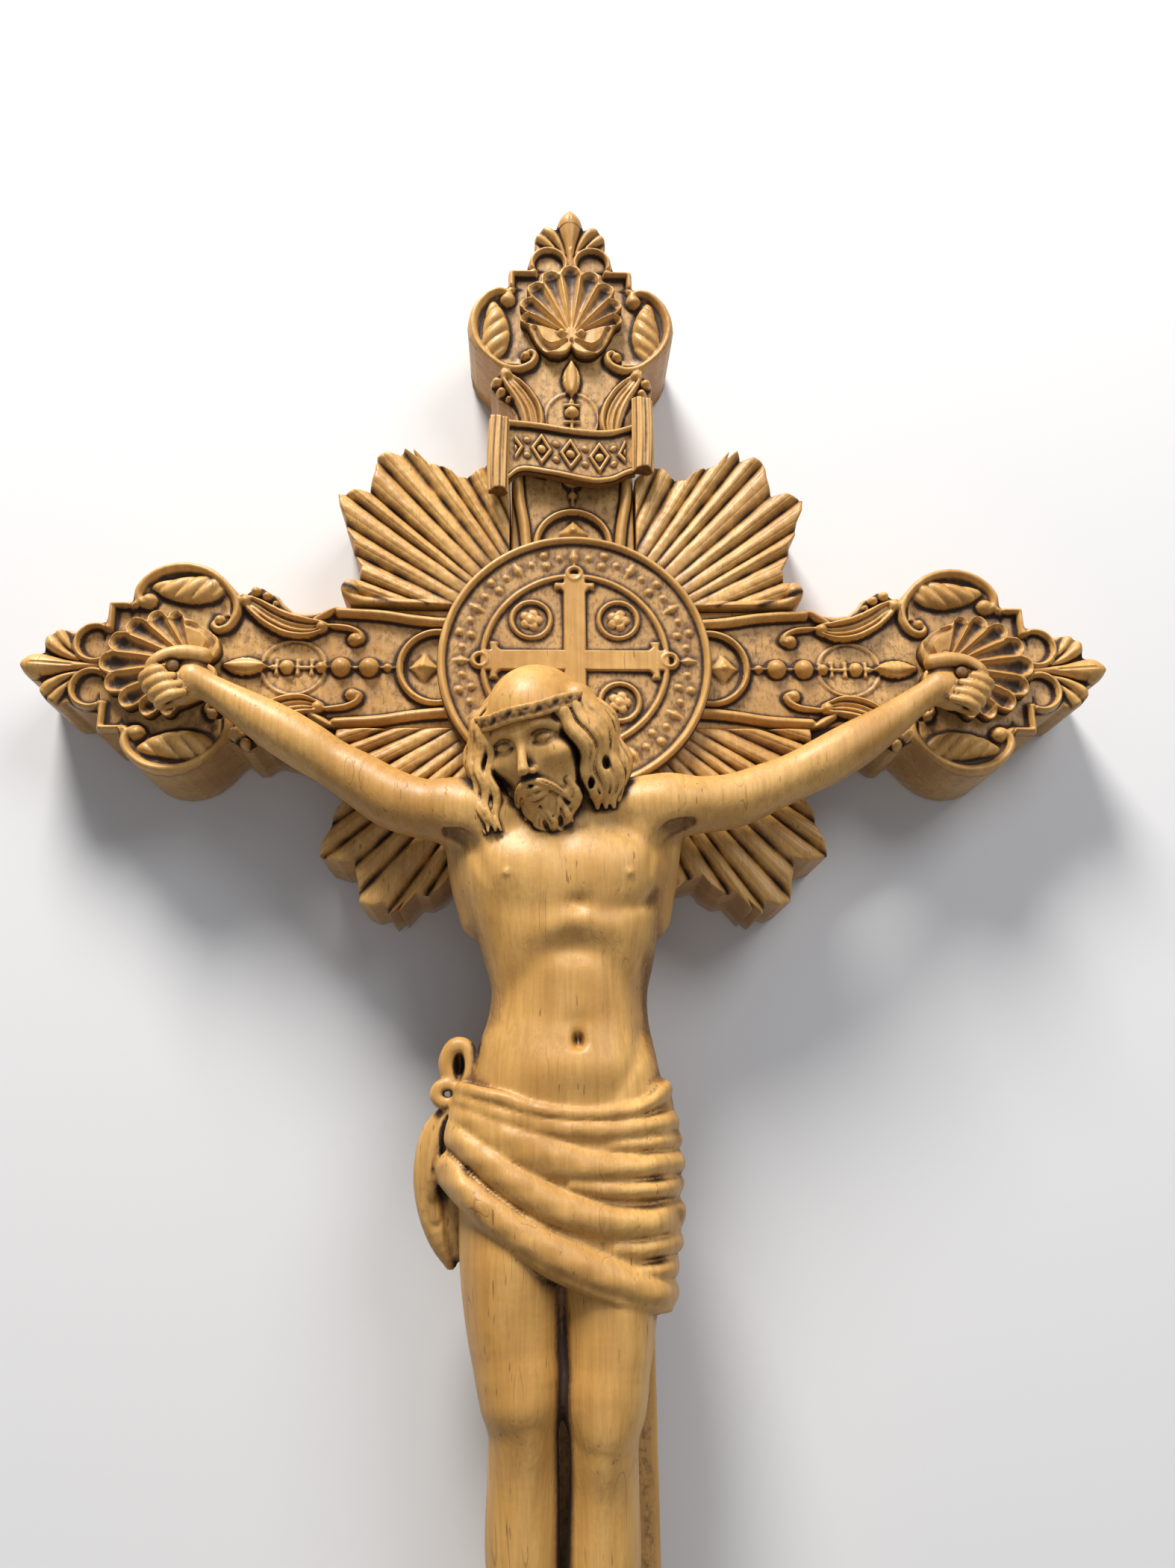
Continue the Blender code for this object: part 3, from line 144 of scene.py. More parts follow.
def mesh_piece(name, points, quads, material, extra=(), flip=False, **marks):
    """A piece from its points in metres, its four-sided faces and any other faces, which flip
    turns over; each mark is one number for each point, kept as an attribute that the finish
    reads."""
    mesh = bpy.data.meshes.new(name)
    points = np.ascontiguousarray(points.reshape(-1, 3), np.float32)
    if flip:
        quads, extra = quads[:, ::-1], [face[::-1] for face in extra]
    loops = [quads.ravel(), *extra]
    sizes = np.array([4] * len(quads) + [len(face) for face in extra])
    corners = stacked(*loops).astype(np.int32)
    mesh.vertices.add(len(points))
    mesh.vertices.foreach_set("co", points.ravel())
    mesh.loops.add(len(corners))
    mesh.loops.foreach_set("vertex_index", corners)
    mesh.polygons.add(len(sizes))
    mesh.polygons.foreach_set("loop_start", stacked([0], np.cumsum(sizes)[:-1]))
    mesh.polygons.foreach_set("loop_total", sizes)
    mesh.update(calc_edges=True)
    mesh.polygons.foreach_set("use_smooth", np.ones(len(sizes), bool))
    for mark, values in marks.items():
        attribute = mesh.attributes.new(mark, "FLOAT", "POINT")
        values = np.broadcast_to(values, len(points)) if np.ndim(values) == 0 else values
        attribute.data.foreach_set("value", np.ascontiguousarray(values.ravel(), np.float32))
    mesh.materials.append(material)
    obj = new_object(name, mesh)
    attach(obj, "root")
    return obj


def tube_piece(name, points, material, **marks):
    """A closed piece from rows of rings, points[row, ring], with a flat face at each end."""
    rows, ring = points.shape[:2]
    first = np.arange(ring)
    ends = [first[::-1], first + (rows - 1) * ring]
    return mesh_piece(name, points, tube_faces(rows, ring), material, extra=ends, **marks)


def turned_piece(name, points, material, **marks):
    """A closed piece from rows of rings whose first and last rows each shrink to one point."""
    rows, ring = points.shape[:2]
    body = points[1:-1]
    all_points = stacked(body.reshape(-1, 3), points[0, :1], points[-1, :1])
    quads = tube_faces(rows - 2, ring)[:, ::-1]
    top = (rows - 2) * ring
    here = np.arange(ring)
    after = (here + 1) % ring
    low = (rows - 3) * ring
    fans = [*np.stack([0 * here + top, here, after], axis=-1),
            *np.stack([0 * here + top + 1, low + after, low + here], axis=-1)]
    for mark, values in marks.items():
        if np.ndim(values):
            marks[mark] = stacked(values[1:-1].ravel(), values[0, :1], values[-1, :1])
    return mesh_piece(name, all_points, quads, material, extra=fans, **marks)


# Curves and reliefs


def arc(x, y, across, along, turns, *rest):
    """Places round an oval at the given angles, each with the numbers that follow it."""
    return [(x + across * math.cos(a), y + along * math.sin(a), *rest) for a in turns]


def smoothed(values, kernel, mode="edge"):
    """A row's running mean, weighted by a kernel with an odd count."""
    padded = np.pad(values, len(kernel) // 2, mode=mode)
    return np.convolve(padded, kernel / kernel.sum(), "valid")


def blend(low, high, value):
    """From 0 to 1 as the value goes from low to high, easing at both ends."""
    u = np.clip((value - low) / (high - low), 0, 1)
    return u * u * (3 - 2 * u)


def smooth_max(a, b, width):
    """The larger of two heights, with a fillet of the given width where they meet."""
    h = np.clip(0.5 + 0.5 * (a - b) / width, 0, 1)
    return b + (a - b) * h + width * h * (1 - h)


def through(points, steps=5):
    """A smooth path through marked points: a Catmull-Rom curve, with the numbers beside each
    place carried along the same way."""
    marked = np.asarray(points, float)
    marked = np.vstack([2 * marked[0] - marked[1], marked, 2 * marked[-1] - marked[-2]])
    u = np.linspace(0, 1, steps, endpoint=False)[None, :, None]
    a, b, c, d = (marked[i : len(marked) - 3 + i, None] for i in range(4))
    path = 0.5 * (
        2 * b + (c - a) * u + (2 * a - 5 * b + 4 * c - d) * u**2 + (3 * b - a - 3 * c + d) * u**3
    )
    return np.vstack([path.reshape(-1, marked.shape[1]), marked[-2:-1]])


def to_path(x, y, path):
    """For each point, the distance to the nearest place of a path, the side it lies on (-1 or 1),
    and the path's own numbers there."""
    best = np.full(x.shape, 1e9)
    side = np.zeros(x.shape)
    extra = np.zeros((path.shape[1] - 2, *x.shape))
    for a, b in zip(path, path[1:]):
        dx, dy = b[0] - a[0], b[1] - a[1]
        u = np.clip(((x - a[0]) * dx + (y - a[1]) * dy) / (dx * dx + dy * dy + 1e-12), 0, 1)
        gx = x - a[0] - u * dx
        gy = y - a[1] - u * dy
        gap = gx * gx + gy * gy
        near = gap < best
        best = np.where(near, gap, best)
        side = np.where(near, np.sign(dx * gy - dy * gx), side)
        for k in range(len(extra)):
            extra[k] = np.where(near, a[k + 2] + u * (b[k + 2] - a[k + 2]), extra[k])
    return np.sqrt(best), side, extra


def hump(q, power=0.5):
    """A round top: (1 - q^2) to a power, where q is 0 in its middle and 1 at its foot."""
    return np.maximum(1 - q * q, 0) ** power


def rounded(q):
    """The profile of a full round moulding."""
    return hump(q, 0.7)


def raised(gap, reach, rise, power=0.5):
    """A round top of the given rise within its reach, and below zero past it."""
    return np.where(gap < reach, rise * hump(gap / reach, power), -1.0)


def edge_drop(radius, gap):
    """How far a rounded edge of the given radius falls, at a gap inwards from its side."""
    left = np.clip(radius - gap, 0, radius)
    return radius - np.sqrt(np.maximum(radius**2 - left**2, 0))


def ridged(q):
    """A broad moulding with four ridges across, q from -1 to 1."""
    lines = ((-0.76, 0.26, 1.0), (-0.27, 0.16, 0.72), (0.16, 0.16, 0.7), (0.7, 0.32, 1.05))
    body = 0.5 * hump(q, 0.4)
    for middle, half, rise in lines:
        body = np.maximum(body, rise * hump((q - middle) / half))
    return body


class Carving:
    """A flat drawing's points and how far each stands out, raised and hollowed stroke by stroke."""

    def __init__(self, x, y, ground):
        self.x = x
        self.y = y
        self.ground = ground
        self.height = np.full(x.shape, float(ground))

    def inside(self, low_x, high_x, low_y, high_y):
        """Which points lie in an upright box."""
        return (self.x > low_x) & (self.x < high_x) & (self.y > low_y) & (self.y < high_y)

    def round_path(self, path, spare):
        """Which points lie in the box that holds a path, with some spare."""
        low, high = path[:, :2].min(0) - spare, path[:, :2].max(0) + spare
        return self.inside(low[0], high[0], low[1], high[1])

    def add(self, where, shape):
        """A shape of its own over some of the points, below zero where it has nothing."""
        self.height[where] = smooth_max(self.height[where], self.ground + shape, FILLET)

    def band(self, points, profile=rounded, smooth=True, two_sided=False):
        """A moulding along a path of (x, y, half-width, rise): its rise times the profile of its
        distance from the path over its half-width."""
        path = through(points) if smooth else np.asarray(points, float)
        where = self.round_path(path, path[:, 2].max() * 1.1)
        gap, side, (half, rise) = to_path(self.x[where], self.y[where], path)
        q = gap / half
        shape = rise * profile(q * side if two_sided else q)
        self.add(where, np.where(q < 1, shape, -1.0))

    def trough(self, points, power=0.8):
        """A hollow along a path of (x, y, half-width, depth)."""
        path = through(points)
        where = self.round_path(path, path[:, 2].max())
        gap, _, (half, depth) = to_path(self.x[where], self.y[where], path)
        self.height[where] -= depth * hump(gap / half, power)

    def dome(self, x, y, across, along, rise):
        """A ball or an egg lying on the ground."""
        reach = max(across, along)
        where = self.inside(x - reach, x + reach, y - reach, y + reach)
        q = ((self.x[where] - x) / across) ** 2 + ((self.y[where] - y) / along) ** 2
        self.add(where, np.where(q < 1, rise * np.maximum(1 - q, 0) ** 0.5, -1.0))

    def eased(self):
        """The heights with each one's steps to its neighbours evened out a little."""
        height = self.height
        for axis in (0, 1):
            height = np.moveaxis(height, axis, 0)
            middle = height[1:-1] / 2 + (height[:-2] + height[2:]) / 4
            height = stacked(height[:1], middle, height[-1:])
            height = np.moveaxis(height, 0, axis)
        return height


def box_blur(values, size, axis):
    """The running mean over 2 size + 1 places along one axis, with the ends repeated."""
    values = np.moveaxis(values, axis, 0)
    padded = stacked(values[:1].repeat(size + 1, 0), values, values[-1:].repeat(size, 0))
    total = np.cumsum(padded, axis=0)
    mean = (total[2 * size + 1 :] - total[: -2 * size - 1]) / (2 * size + 1)
    return np.moveaxis(mean, 0, axis)


def blurred(values, rows, columns):
    """Two running means both ways, which come close to a soft round blur."""
    for _ in range(2):
        values = box_blur(box_blur(values, rows, 0), columns, 1)
    return values


def wax_in(height, rows, columns, ground):
    """How much dark wax and painted shade a point gets, 0 to 1: most where a point lies below its
    neighbours, in the corner between the ground and a moulding, and none on the tops."""
    fine = blurred(height, rows, columns) - height
    wide = blurred(height, rows * 3, columns * 3) - height
    hollow = np.clip(fine / 0.28, 0, 1) ** 0.8 + 0.45 * np.clip(wide / 0.7, 0, 1)
    low = blend(ground + 0.9, ground + 0.1, height)
    return np.clip(hollow * (0.45 + 0.55 * low), 0, 1)


def noise_wave(x, y, size, seed):
    """A slow uneven wave over a drawing: five turned sines added up, about -1 to 1."""
    random = np.random.default_rng(seed)
    total = np.zeros(np.broadcast(x, y).shape)
    for _ in range(5):
        turn, phase, stretch = random.uniform(0, math.tau, 3)
        k = math.tau / size * (0.6 + stretch / math.tau)
        total += np.sin(k * (x * math.cos(turn) + y * math.sin(turn)) + phase)
    return total / 3


# Finishes


class Value:
    """One number of a finish that may vary over the surface. Arithmetic on it adds Math nodes."""

    def __init__(self, finish, socket):
        self.finish = finish
        self.socket = socket

    def maths(self, operation, *values):
        return self.finish.node("ShaderNodeMath", {"operation": operation}, dict(enumerate(values)))

    def __add__(self, other):
        return self.maths("ADD", self, other)

    __radd__ = __add__

    def __mul__(self, other):
        return self.maths("MULTIPLY", self, other)

    __rmul__ = __mul__

    def __sub__(self, other):
        return self.maths("SUBTRACT", self, other)

    def __rsub__(self, other):
        return self.maths("SUBTRACT", other, self)

    def at_least(self, other):
        return self.maths("MAXIMUM", self, other)

    def step(self, low, high):
        """0 below low and 1 above high, easing between; low may be above high."""
        inputs = {"Value": self, "From Min": min(low, high), "From Max": max(low, high)}
        eased = self.finish.node(
            "ShaderNodeMapRange", {"interpolation_type": "SMOOTHSTEP"}, inputs
        )
        return 1 - eased if low > high else eased


class Finish:
    """A material whose shader sockets are fed by expressions."""

    def __init__(self, name, roughness):
        self.material = bpy.data.materials.new(name)
        self.material.use_nodes = True
        self.tree = self.material.node_tree
        self.shader = self.tree.nodes["Principled BSDF"]
        self.wear({"Roughness": roughness})

    def node(self, kind, settings, inputs, output=0):
        """A new node with its settings and inputs, as the value of one of its outputs."""
        made = self.tree.nodes.new(kind)
        for key, value in settings.items():
            setattr(made, key, value)
        for key, value in inputs.items():
            self.feed(made.inputs[key], value)
        return Value(self, made.outputs[output])

    def feed(self, socket, value):
        if isinstance(value, Value):
            self.tree.links.new(value.socket, socket)
        else:
            socket.default_value = value

    def wear(self, inputs):
        """Numbers, colours or expressions for the shader's own sockets."""
        for name, value in inputs.items():
            self.feed(self.shader.inputs[name], value)

    def mark(self, name):
        """A number kept on the piece's own points."""
        return self.node("ShaderNodeAttribute", {"attribute_name": name}, {}, "Fac")

    def noise(self, scale, detail=3.0, rough=0.55, warp=0.0):
        """Uneven 0 to 1 noise whose grains have the given number to the metre on each axis of
        the object."""
        spot = self.node("ShaderNodeTexCoord", {}, {}, "Object")
        spot = self.node("ShaderNodeMapping", {}, {"Vector": spot, "Scale": scale})
        inputs = {"Vector": spot, "Scale": 1.0, "Detail": detail, "Roughness": rough,
                  "Distortion": warp}
        return self.node("ShaderNodeTexNoise", {}, inputs, "Fac")

    def mix(self, factor, first, second):
        """From the first colour to the second as the factor goes from 0 to 1."""
        inputs = {0: factor, 6: first, 7: second}
        return self.node("ShaderNodeMix", {"data_type": "RGBA"}, inputs, 2)


# The wood's colours, from its pale early wood to the dark wax, which also serves as painted shade
PALE = (0.68, 0.392, 0.115, 1)
HONEY = (0.49, 0.252, 0.06, 1)
AMBER = (0.30, 0.123, 0.024, 1)
FLECK = (0.15, 0.06, 0.016, 1)
DARK_WAX_AND_SHADE = (0.022, 0.009, 0.0035, 1)
STAIN_AND_SHADE = (0.115, 0.043, 0.0105, 1)
DUST = (0.30, 0.20, 0.105, 1)


def waxed_wood(name, roughness, grain=1.0, shade=0.0, cracks=0.0):
    """Satin beech: slow honey patches, long fine grain up the piece, short dark ray flecks, hair
    cracks along the level lines of a stretched noise, and dark wax with painted shade where their
    mark is high, broken up by fine noise at its edge. The mark "ground" turns flat recesses dull
    and mottled."""
    finish = Finish(name, roughness)
    patches = finish.noise((70, 70, 28), 2.0)
    streaks = finish.noise((900, 900, 38), 3.0, 0.6, warp=0.4)
    fine = finish.noise((2600, 2600, 120), 2.0)
    fibres = (streaks.step(0.36, 0.68) * 0.65 + fine.step(0.3, 0.75) * 0.35) * grain
    colour = finish.mix(patches.step(0.34, 0.68), PALE, HONEY)
    colour = finish.mix(fibres * 0.42, colour, AMBER)
    flecks = finish.noise((2300, 2300, 240), 1.0, 0.4).step(0.69, 0.76)
    flecks = flecks * finish.noise((160, 160, 90), 1.0).step(0.42, 0.6)
    colour = finish.mix(flecks * (0.62 * grain), colour, FLECK)
    hair = finish.noise((420, 420, 9), 0.0)
    hair = (1 - hair.step(0.5, 0.512)) * hair.step(0.488, 0.5)
    hair = hair * finish.noise((170, 170, 70), 1.0).step(0.56, 0.66) * cracks
    colour = finish.mix(hair, colour, FLECK)
    speckle = finish.noise((1500, 1500, 1100), 3.0, 0.65)
    blotch = finish.noise((420, 420, 300), 3.0, 0.6)
    ground = finish.mark("ground")
    dull = ground * (blotch * 0.6 + speckle * 0.5).step(0.3, 0.72)
    colour = finish.mix(dull * 0.35, colour, DUST)
    colour = finish.mix(ground * speckle.step(0.46, 0.7) * 0.6, colour, STAIN_AND_SHADE)
    # The piece's mark for dark wax is also painted shade: it darkens hollows, corners and parts
    # near the board
    wax = finish.mark("wax")
    edge = wax + (speckle - 0.5) * 0.5 * wax.step(0.0, 0.35) + shade
    # Painted shade with the wax: a brown stain at the mark's soft edge, near-black where it is high
    colour = finish.mix(edge.step(0.02, 0.42) * 0.75, colour, STAIN_AND_SHADE)
    colour = finish.mix(edge.step(0.34, 0.78) * 0.95, colour, DARK_WAX_AND_SHADE)
    rough = roughness - 0.05 + 0.14 * blotch + 0.34 * edge.step(0.1, 0.8) + 0.1 * dull
    tooling = finish.noise((520, 520, 420), 2.0)
    height = fibres * -0.4 + tooling * 0.9 + speckle * 0.35 - (flecks + hair) * 0.8
    bump = {"Strength": 0.32, "Distance": 0.00022, "Height": height}
    finish.wear({
        "Base Color": colour, "Roughness": rough, "Specular IOR Level": 0.45, "Coat Weight": 0.08,
        "Coat Roughness": 0.34, "Normal": finish.node("ShaderNodeBump", {}, bump),
    })
    return finish.material


BOARD_WOOD = waxed_wood("waxed_board", 0.42)
RAY_WOOD = waxed_wood("waxed_rays", 0.44, 1.1)
MEDAL_WOOD = waxed_wood("waxed_medal", 0.4)
SHELL_WOOD = waxed_wood("waxed_shell", 0.4)
FIGURE_WOOD = waxed_wood("waxed_figure", 0.45, cracks=0.45)
PIN_WOOD = waxed_wood("waxed_pins", 0.45, shade=0.12)


# Boards

# Half-width of an arm's end from the beam out to the tip
END_SIDE = (
    (-200, HALF_BEAM), (39.5, HALF_BEAM), (42.5, 10.1), (45, HALF_NECK), (47, 10.2), (48.6, 11.6),
    (49.6, 13), (50.8, 13.4), (52.2, 14.5), (53.6, 14.5), (54.8, 13.4), (55.8, 12.9), (57, 14.1),
    (58.6, 15.9), (60.4, 17.4), (62.6, 18.4), (65, HALF_SCROLL), (67.4, 18.5), (69.6, 17.6),
    (71.6, 15.8), (72.9, 13.9), (73.4, 12.2), (73.45, 11.45), (77.15, 11.45), (77.2, 8.3),
    (78.6, 7.9), (80, 7.6), (81.4, 6.9), (82.3, 6.3), (83.2, 6.6), (84.4, 6.6), (85.6, 6),
    (86.4, 4.9), (86.7, 3.6), (86.75, 2.75), (87.4, 2.5), (88.2, 2.3), (89, 1.85), (89.6, 1.2),
    (ARM_REACH - 0.08, 0.5),
)


def end_side(s):
    """An arm's half-width at each distance along it, with the corners eased a little."""
    known = np.arange(-200, ARM_REACH + 1, 0.02)
    side = np.interp(known, *np.array(END_SIDE).T)
    return np.interp(s, known, smoothed(side, np.hanning(17)))


def carve_end(cut):
    """The ornament of an arm's end, drawn once for both sides: x is the distance from the middle
    line and y the distance along the arm."""
    cut.band([(0, 77.4, 0.5, 0.9), (0, 80, 0.7, 1.2), (0, 83, 1.1, 1.5), (0, 85.4, 1.8, 1.9),
              (0, 87.5, 2.3, 2.2), (0, 88.8, 2, 2), (0, 90.3, 0.9, 1.2)])
    cut.band([(1.1, 81, 0.4, 0.7), (2.2, 83.4, 0.8, 1.3), (3.6, 85.3, 1.25, 1.7),
              (4.5, 86, 1.2, 1.5)])
    cut.band([(2.6, 82, 0.4, 0.6), (4.4, 83.6, 0.9, 1), (5.7, 84.6, 1, 1.1)])
    cut.trough([(0, 88, 0.3, 0.12), (0, 82, 0.25, 0.25)])
    turns = np.radians(np.linspace(-42, 214, 13))
    cut.band(arc(3.95, 78.5, -3.15, 3.2, turns, 0.6, RELIEF))
    cut.band([(6.6, 76.45, 0.66, RELIEF), (10.8, 76.45, 0.66, RELIEF),
              (10.8, 72.6, 0.6, RELIEF)], smooth=False)
    scroll = [
        (8.3, 58.9, 0.5, 1.3), (7.4, 59.7, 0.6, 1.35), (6.5, 59, 0.7, 1.45),
        (6.9, 57.5, 0.78, RELIEF), (8.4, 56.4, 0.85, RELIEF), (10.4, 56, 0.9, RELIEF),
        (12.6, 56.6, 0.95, 1.6), (15, 58.5, 1, 1.7), (17, 61.4, 1, 1.8),
        (17.8, 65, 1, 1.85), (17.1, 68.6, 1, 1.8), (15.2, 71.3, 0.98, 1.75),
        (13, 72.4, 0.9, 1.7), (11.4, 71.9, 0.8, 1.6), (10.8, 70.5, 0.72, 1.5),
        (11.7, 69.7, 0.6, 1.4),
    ]
    cut.band(scroll)
    cut.dome(8.2, 58.8, 0.95, 0.95, 1.6)
    cut.dome(11.6, 70.5, 1.35, 1.35, 1.9)
    slope = cut.inside(9, 18, 57, 72)
    gap, _, _ = to_path(cut.x[slope], cut.y[slope], through(scroll[3:13]))
    cut.add(slope, np.where(gap < 2.6, 0.85 * (1 - gap / 2.6), -1))
    x, y = cut.x, cut.y
    leaf = cut.inside(9.5, 18, 57.5, 71.5)
    dx, dy = x[leaf] - 13.6 - 0.03 * (y[leaf] - 64.4) ** 2 * 0.5, y[leaf] - 64.2
    envelope = 1 - (dy / 6.3) ** 2 - (dx / (2.5 - 0.12 * dy)) ** 2
    strands = np.abs(np.cos(1.02 * dy + 0.9 * dx + 0.5)) ** 0.6
    leaf_shape = 2.1 * np.maximum(envelope, 0) ** 0.45 * (0.62 + 0.38 * strands)
    cut.add(leaf, np.where(envelope > 0, leaf_shape, -1))
    swag = [(12, 54.9, 0.9, 1.5), (10.4, 52.7, 1.6, 1.8), (8.7, 50.3, 1.95, 1.95),
            (7.3, 47.4, 2.1, 2), (6.8, 44.6, 1.9, 1.9), (7, 42.4, 1.2, 1.6)]
    cut.band(swag, profile=ridged, two_sided=True)
    for t, s, radius in ((11.6, 54.7, 1.1), (13.3, 53.1, 1), (12.5, 51.2, 0.9),
                         (7.1, 41.9, 1.1), (11.2, 49.8, 0.6)):
        cut.dome(t, s, radius, radius, 0.8 + radius)
    cut.band([(7.4, 41.6, 0.4, 1), (7.2, 39.4, 0.55, 1.3), (6.9, 37.4, 0.6, 1.4),
              (6, 35.7, 0.6, 1.4), (4.9, 35.3, 0.55, 1.4), (4.3, 36.3, 0.5, 1.35)])
    cut.dome(4.9, 36.5, 1.15, 1.15, 1.7)
    cut.band([(8.4, 43, 0.7, 1.3), (9.6, 41, 0.8, 1.5), (10.9, 39.3, 0.8, 1.5)])
    cut.band([(0, 57.4, 0.3, 0.5), (0, 49.5, 0.35, 0.45), (0, 40, 0.35, 0.5), (0, 32, 0.4, 0.6),
              (0, 29.2, 0.3, 0.4)])
    almond = cut.inside(-1, 2, 50, 58)
    q = np.abs(x[almond]) / (1.55 * np.maximum(1 - ((y[almond] - 54.1) / 3.5) ** 2, 1e-6) ** 0.8)
    shape = 1.05 + 0.75 * hump(q / 0.62)
    cut.add(almond, np.where((q < 1) & (np.abs(y[almond] - 54.1) < 3.5), shape, -1))
    for s, radius, rise in ((47.3, 1.25, 1.7), (41.7, 1, 1.5), (38.5, 1.7, 2.1),
                            (33.9, 1.7, 2.1), (30.9, 0.75, 1.2), (49.6, 0.5, 0.8)):
        cut.dome(0, s, radius, radius, rise)
    for s in (45.6, 43.3, 49):
        cut.band([(-1.2, s, 0.28, 0.7), (1.2, s, 0.28, 0.7)], smooth=False)
    turns = np.radians(np.linspace(-90, 90, 15))
    cut.band(arc(0, 46.3, 4.7, 5.2, turns, 0.28, 0.35))


def carve_crossing(cut, shift):
    """The border mouldings, half ring and gem beside the medal, drawn from the crossing."""
    border = ((7.9, 20.5), (8.1, 23.5), (8.5, 27.0), (9.3, 32.0), (9.75, 39.0))
    cut.band([(t, s - shift, 1.0, 1.75) for t, s in border])
    turns = np.radians(np.linspace(-12, 192, 15))
    centre = MEDAL_RADIUS - shift
    cut.band(arc(0, centre, 6.3, 6.3, turns, 0.62, RELIEF))
    x, y = cut.x, cut.y
    gem = cut.inside(-3, 3.4, centre - 1, centre + 5.5)
    dx, dy = np.abs(x[gem]), np.abs(y[gem] - centre - 2.3)
    q = dx / 2.7 + dy / 2.6
    cut.add(gem, np.where(q < 1, 1.5 * np.maximum(1 - q, 0) ** 0.75, -1.0))
    cut.dome(0, centre + 2.5, 0.9, 0.9, 1.7)


def arm_piece(name, arm, rows, columns, node, crossing=False):
    """One arm of a board: rows of closed rings, each with the carved front from side to side,
    then the side wall, the flat back and the other wall."""
    s = rows[:, None]
    side = end_side(rows)[:, None]
    v = np.linspace(-1, 1, columns)
    t = side * v
    cut = Carving(np.abs(t), s + 0 * t, GROUND)
    carve_end(cut)
    if crossing:
        carve_crossing(cut, ARMS[arm][1])
    height = cut.eased() + 0.03 * noise_wave(t, s, 9, len(arm)) + 0.02 * noise_wave(t, s, 3, 4)
    height -= edge_drop(EDGE, side - np.abs(t))
    last = 59
    step = (rows[-1] - rows[-1 - last]) / last
    # Dark wax with painted shade: darker in the hollows, at the mouldings' feet and on the side
    # walls
    wax = wax_in(height, max(int(0.4 / step), 1), 2, GROUND)
    wax[:, :2] *= 0.3
    wax[:, -2:] *= 0.3
    level = blend(GROUND + EDGE, GROUND + 0.15, height) * blend(0.3, 1.5, side - np.abs(t))
    drops = np.array([0.1, 0.3, 0.5, 0.7, 0.88, 0.97])
    down = height[:, -1:] * (1 - drops)
    down[:, 0] = height[:, -1] - 0.1
    back = np.linspace(1, -1, 7)
    flat = 0 * s + 0 * back
    t_ring = abreast(t, side + 0 * down, (side - 0.25) * back, -side + 0 * down)
    z_ring = abreast(height, down, flat, down[:, ::-1])
    wall = np.full(down.shape, WALL_WAX_AND_SHADE)
    wax = abreast(wax, wall, flat + 0.1, wall)
    level = abreast(level, 0 * wall, flat, 0 * wall)
    points = on_arm(arm, s, t_ring, z_ring)
    piece = tube_piece(name, points, BOARD_WOOD, wax=wax, ground=level)
    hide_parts(node)
    return piece


def fine_rows(start, step):
    """Rows close together from the start to the tip, closing up over its last round, with a pair
    of rows at each place where the arm's side jumps."""
    closing, short = 1.2, 0.06
    near = ARM_REACH - closing
    tip = ARM_REACH - short - (closing - short) * (1 - np.linspace(0, 1, 9)[1:]) ** 2
    jumps = [j + d for j in (73.43, 77.18, 86.73) for d in (-short, short)]
    return np.unique(stacked(np.arange(start, near, step), tip, jumps))


STEP = 0.2
COLUMNS = 190


# The keyhole in the back: where the screw's head enters and where its shank stops
KEY_ENTRY = HANGER_HEIGHT - 8.7
KEY_STOP = HANGER_HEIGHT - 2.3
KEY_HALF = 2.3
KEY_HEAD = 4.5
KEY_LIP = 2.6
KEY_DEPTH = 7.0


def prism(outline, low, high):
    """A cutter: a flat outline of (x, y) carried out from z = low to z = high."""
    x, y = np.array(outline).T
    count = len(x)
    points = stacked(on_wall(x, y, low), on_wall(x, y, high))
    here = np.arange(count)
    after = (here + 1) % count
    walls = np.stack([here, after, after + count, here + count], axis=-1)
    mesh = bpy.data.meshes.new("cutter")
    mesh.from_pydata(points.tolist(), [], [here[::-1].tolist(), *walls.tolist(),
                                           (here + count).tolist()])
    return new_object("cutter", mesh)


def round_slot(low, high, low_half, high_half):
    """An upright slot's outline, with a half circle of its own at each end."""
    turns = np.linspace(0, math.pi, 17)
    top = arc(0, high, high_half, high_half, turns)
    return top + arc(0, low, -low_half, -low_half, turns)


def cut_keyhole(board):
    """The round entry, the narrow slot above it and the wider groove behind the slot's lip, cut
    from the back and made part of the board's mesh."""
    cuts = (
        prism(arc(0, KEY_ENTRY, KEY_HEAD, KEY_HEAD, full_turn(32)), -1, KEY_DEPTH - 0.02),
        prism(round_slot(KEY_ENTRY, KEY_STOP, KEY_HALF, KEY_HALF), -1, KEY_LIP + 1),
        prism(round_slot(KEY_ENTRY, KEY_STOP, KEY_HEAD - 0.02, KEY_HEAD), KEY_LIP, KEY_DEPTH),
    )
    for cutter in cuts:
        made = board.modifiers.new("keyhole", "BOOLEAN")
        made.solver = "MANIFOLD"
        made.operation = "DIFFERENCE"
        made.object = cutter
    bpy.context.view_layer.update()
    graph = bpy.context.evaluated_depsgraph_get()
    mesh = bpy.data.meshes.new_from_object(board.evaluated_get(graph))
    board.modifiers.clear()
    board.data = mesh
    for cutter in cuts:
        bpy.data.objects.remove(cutter, do_unlink=True)


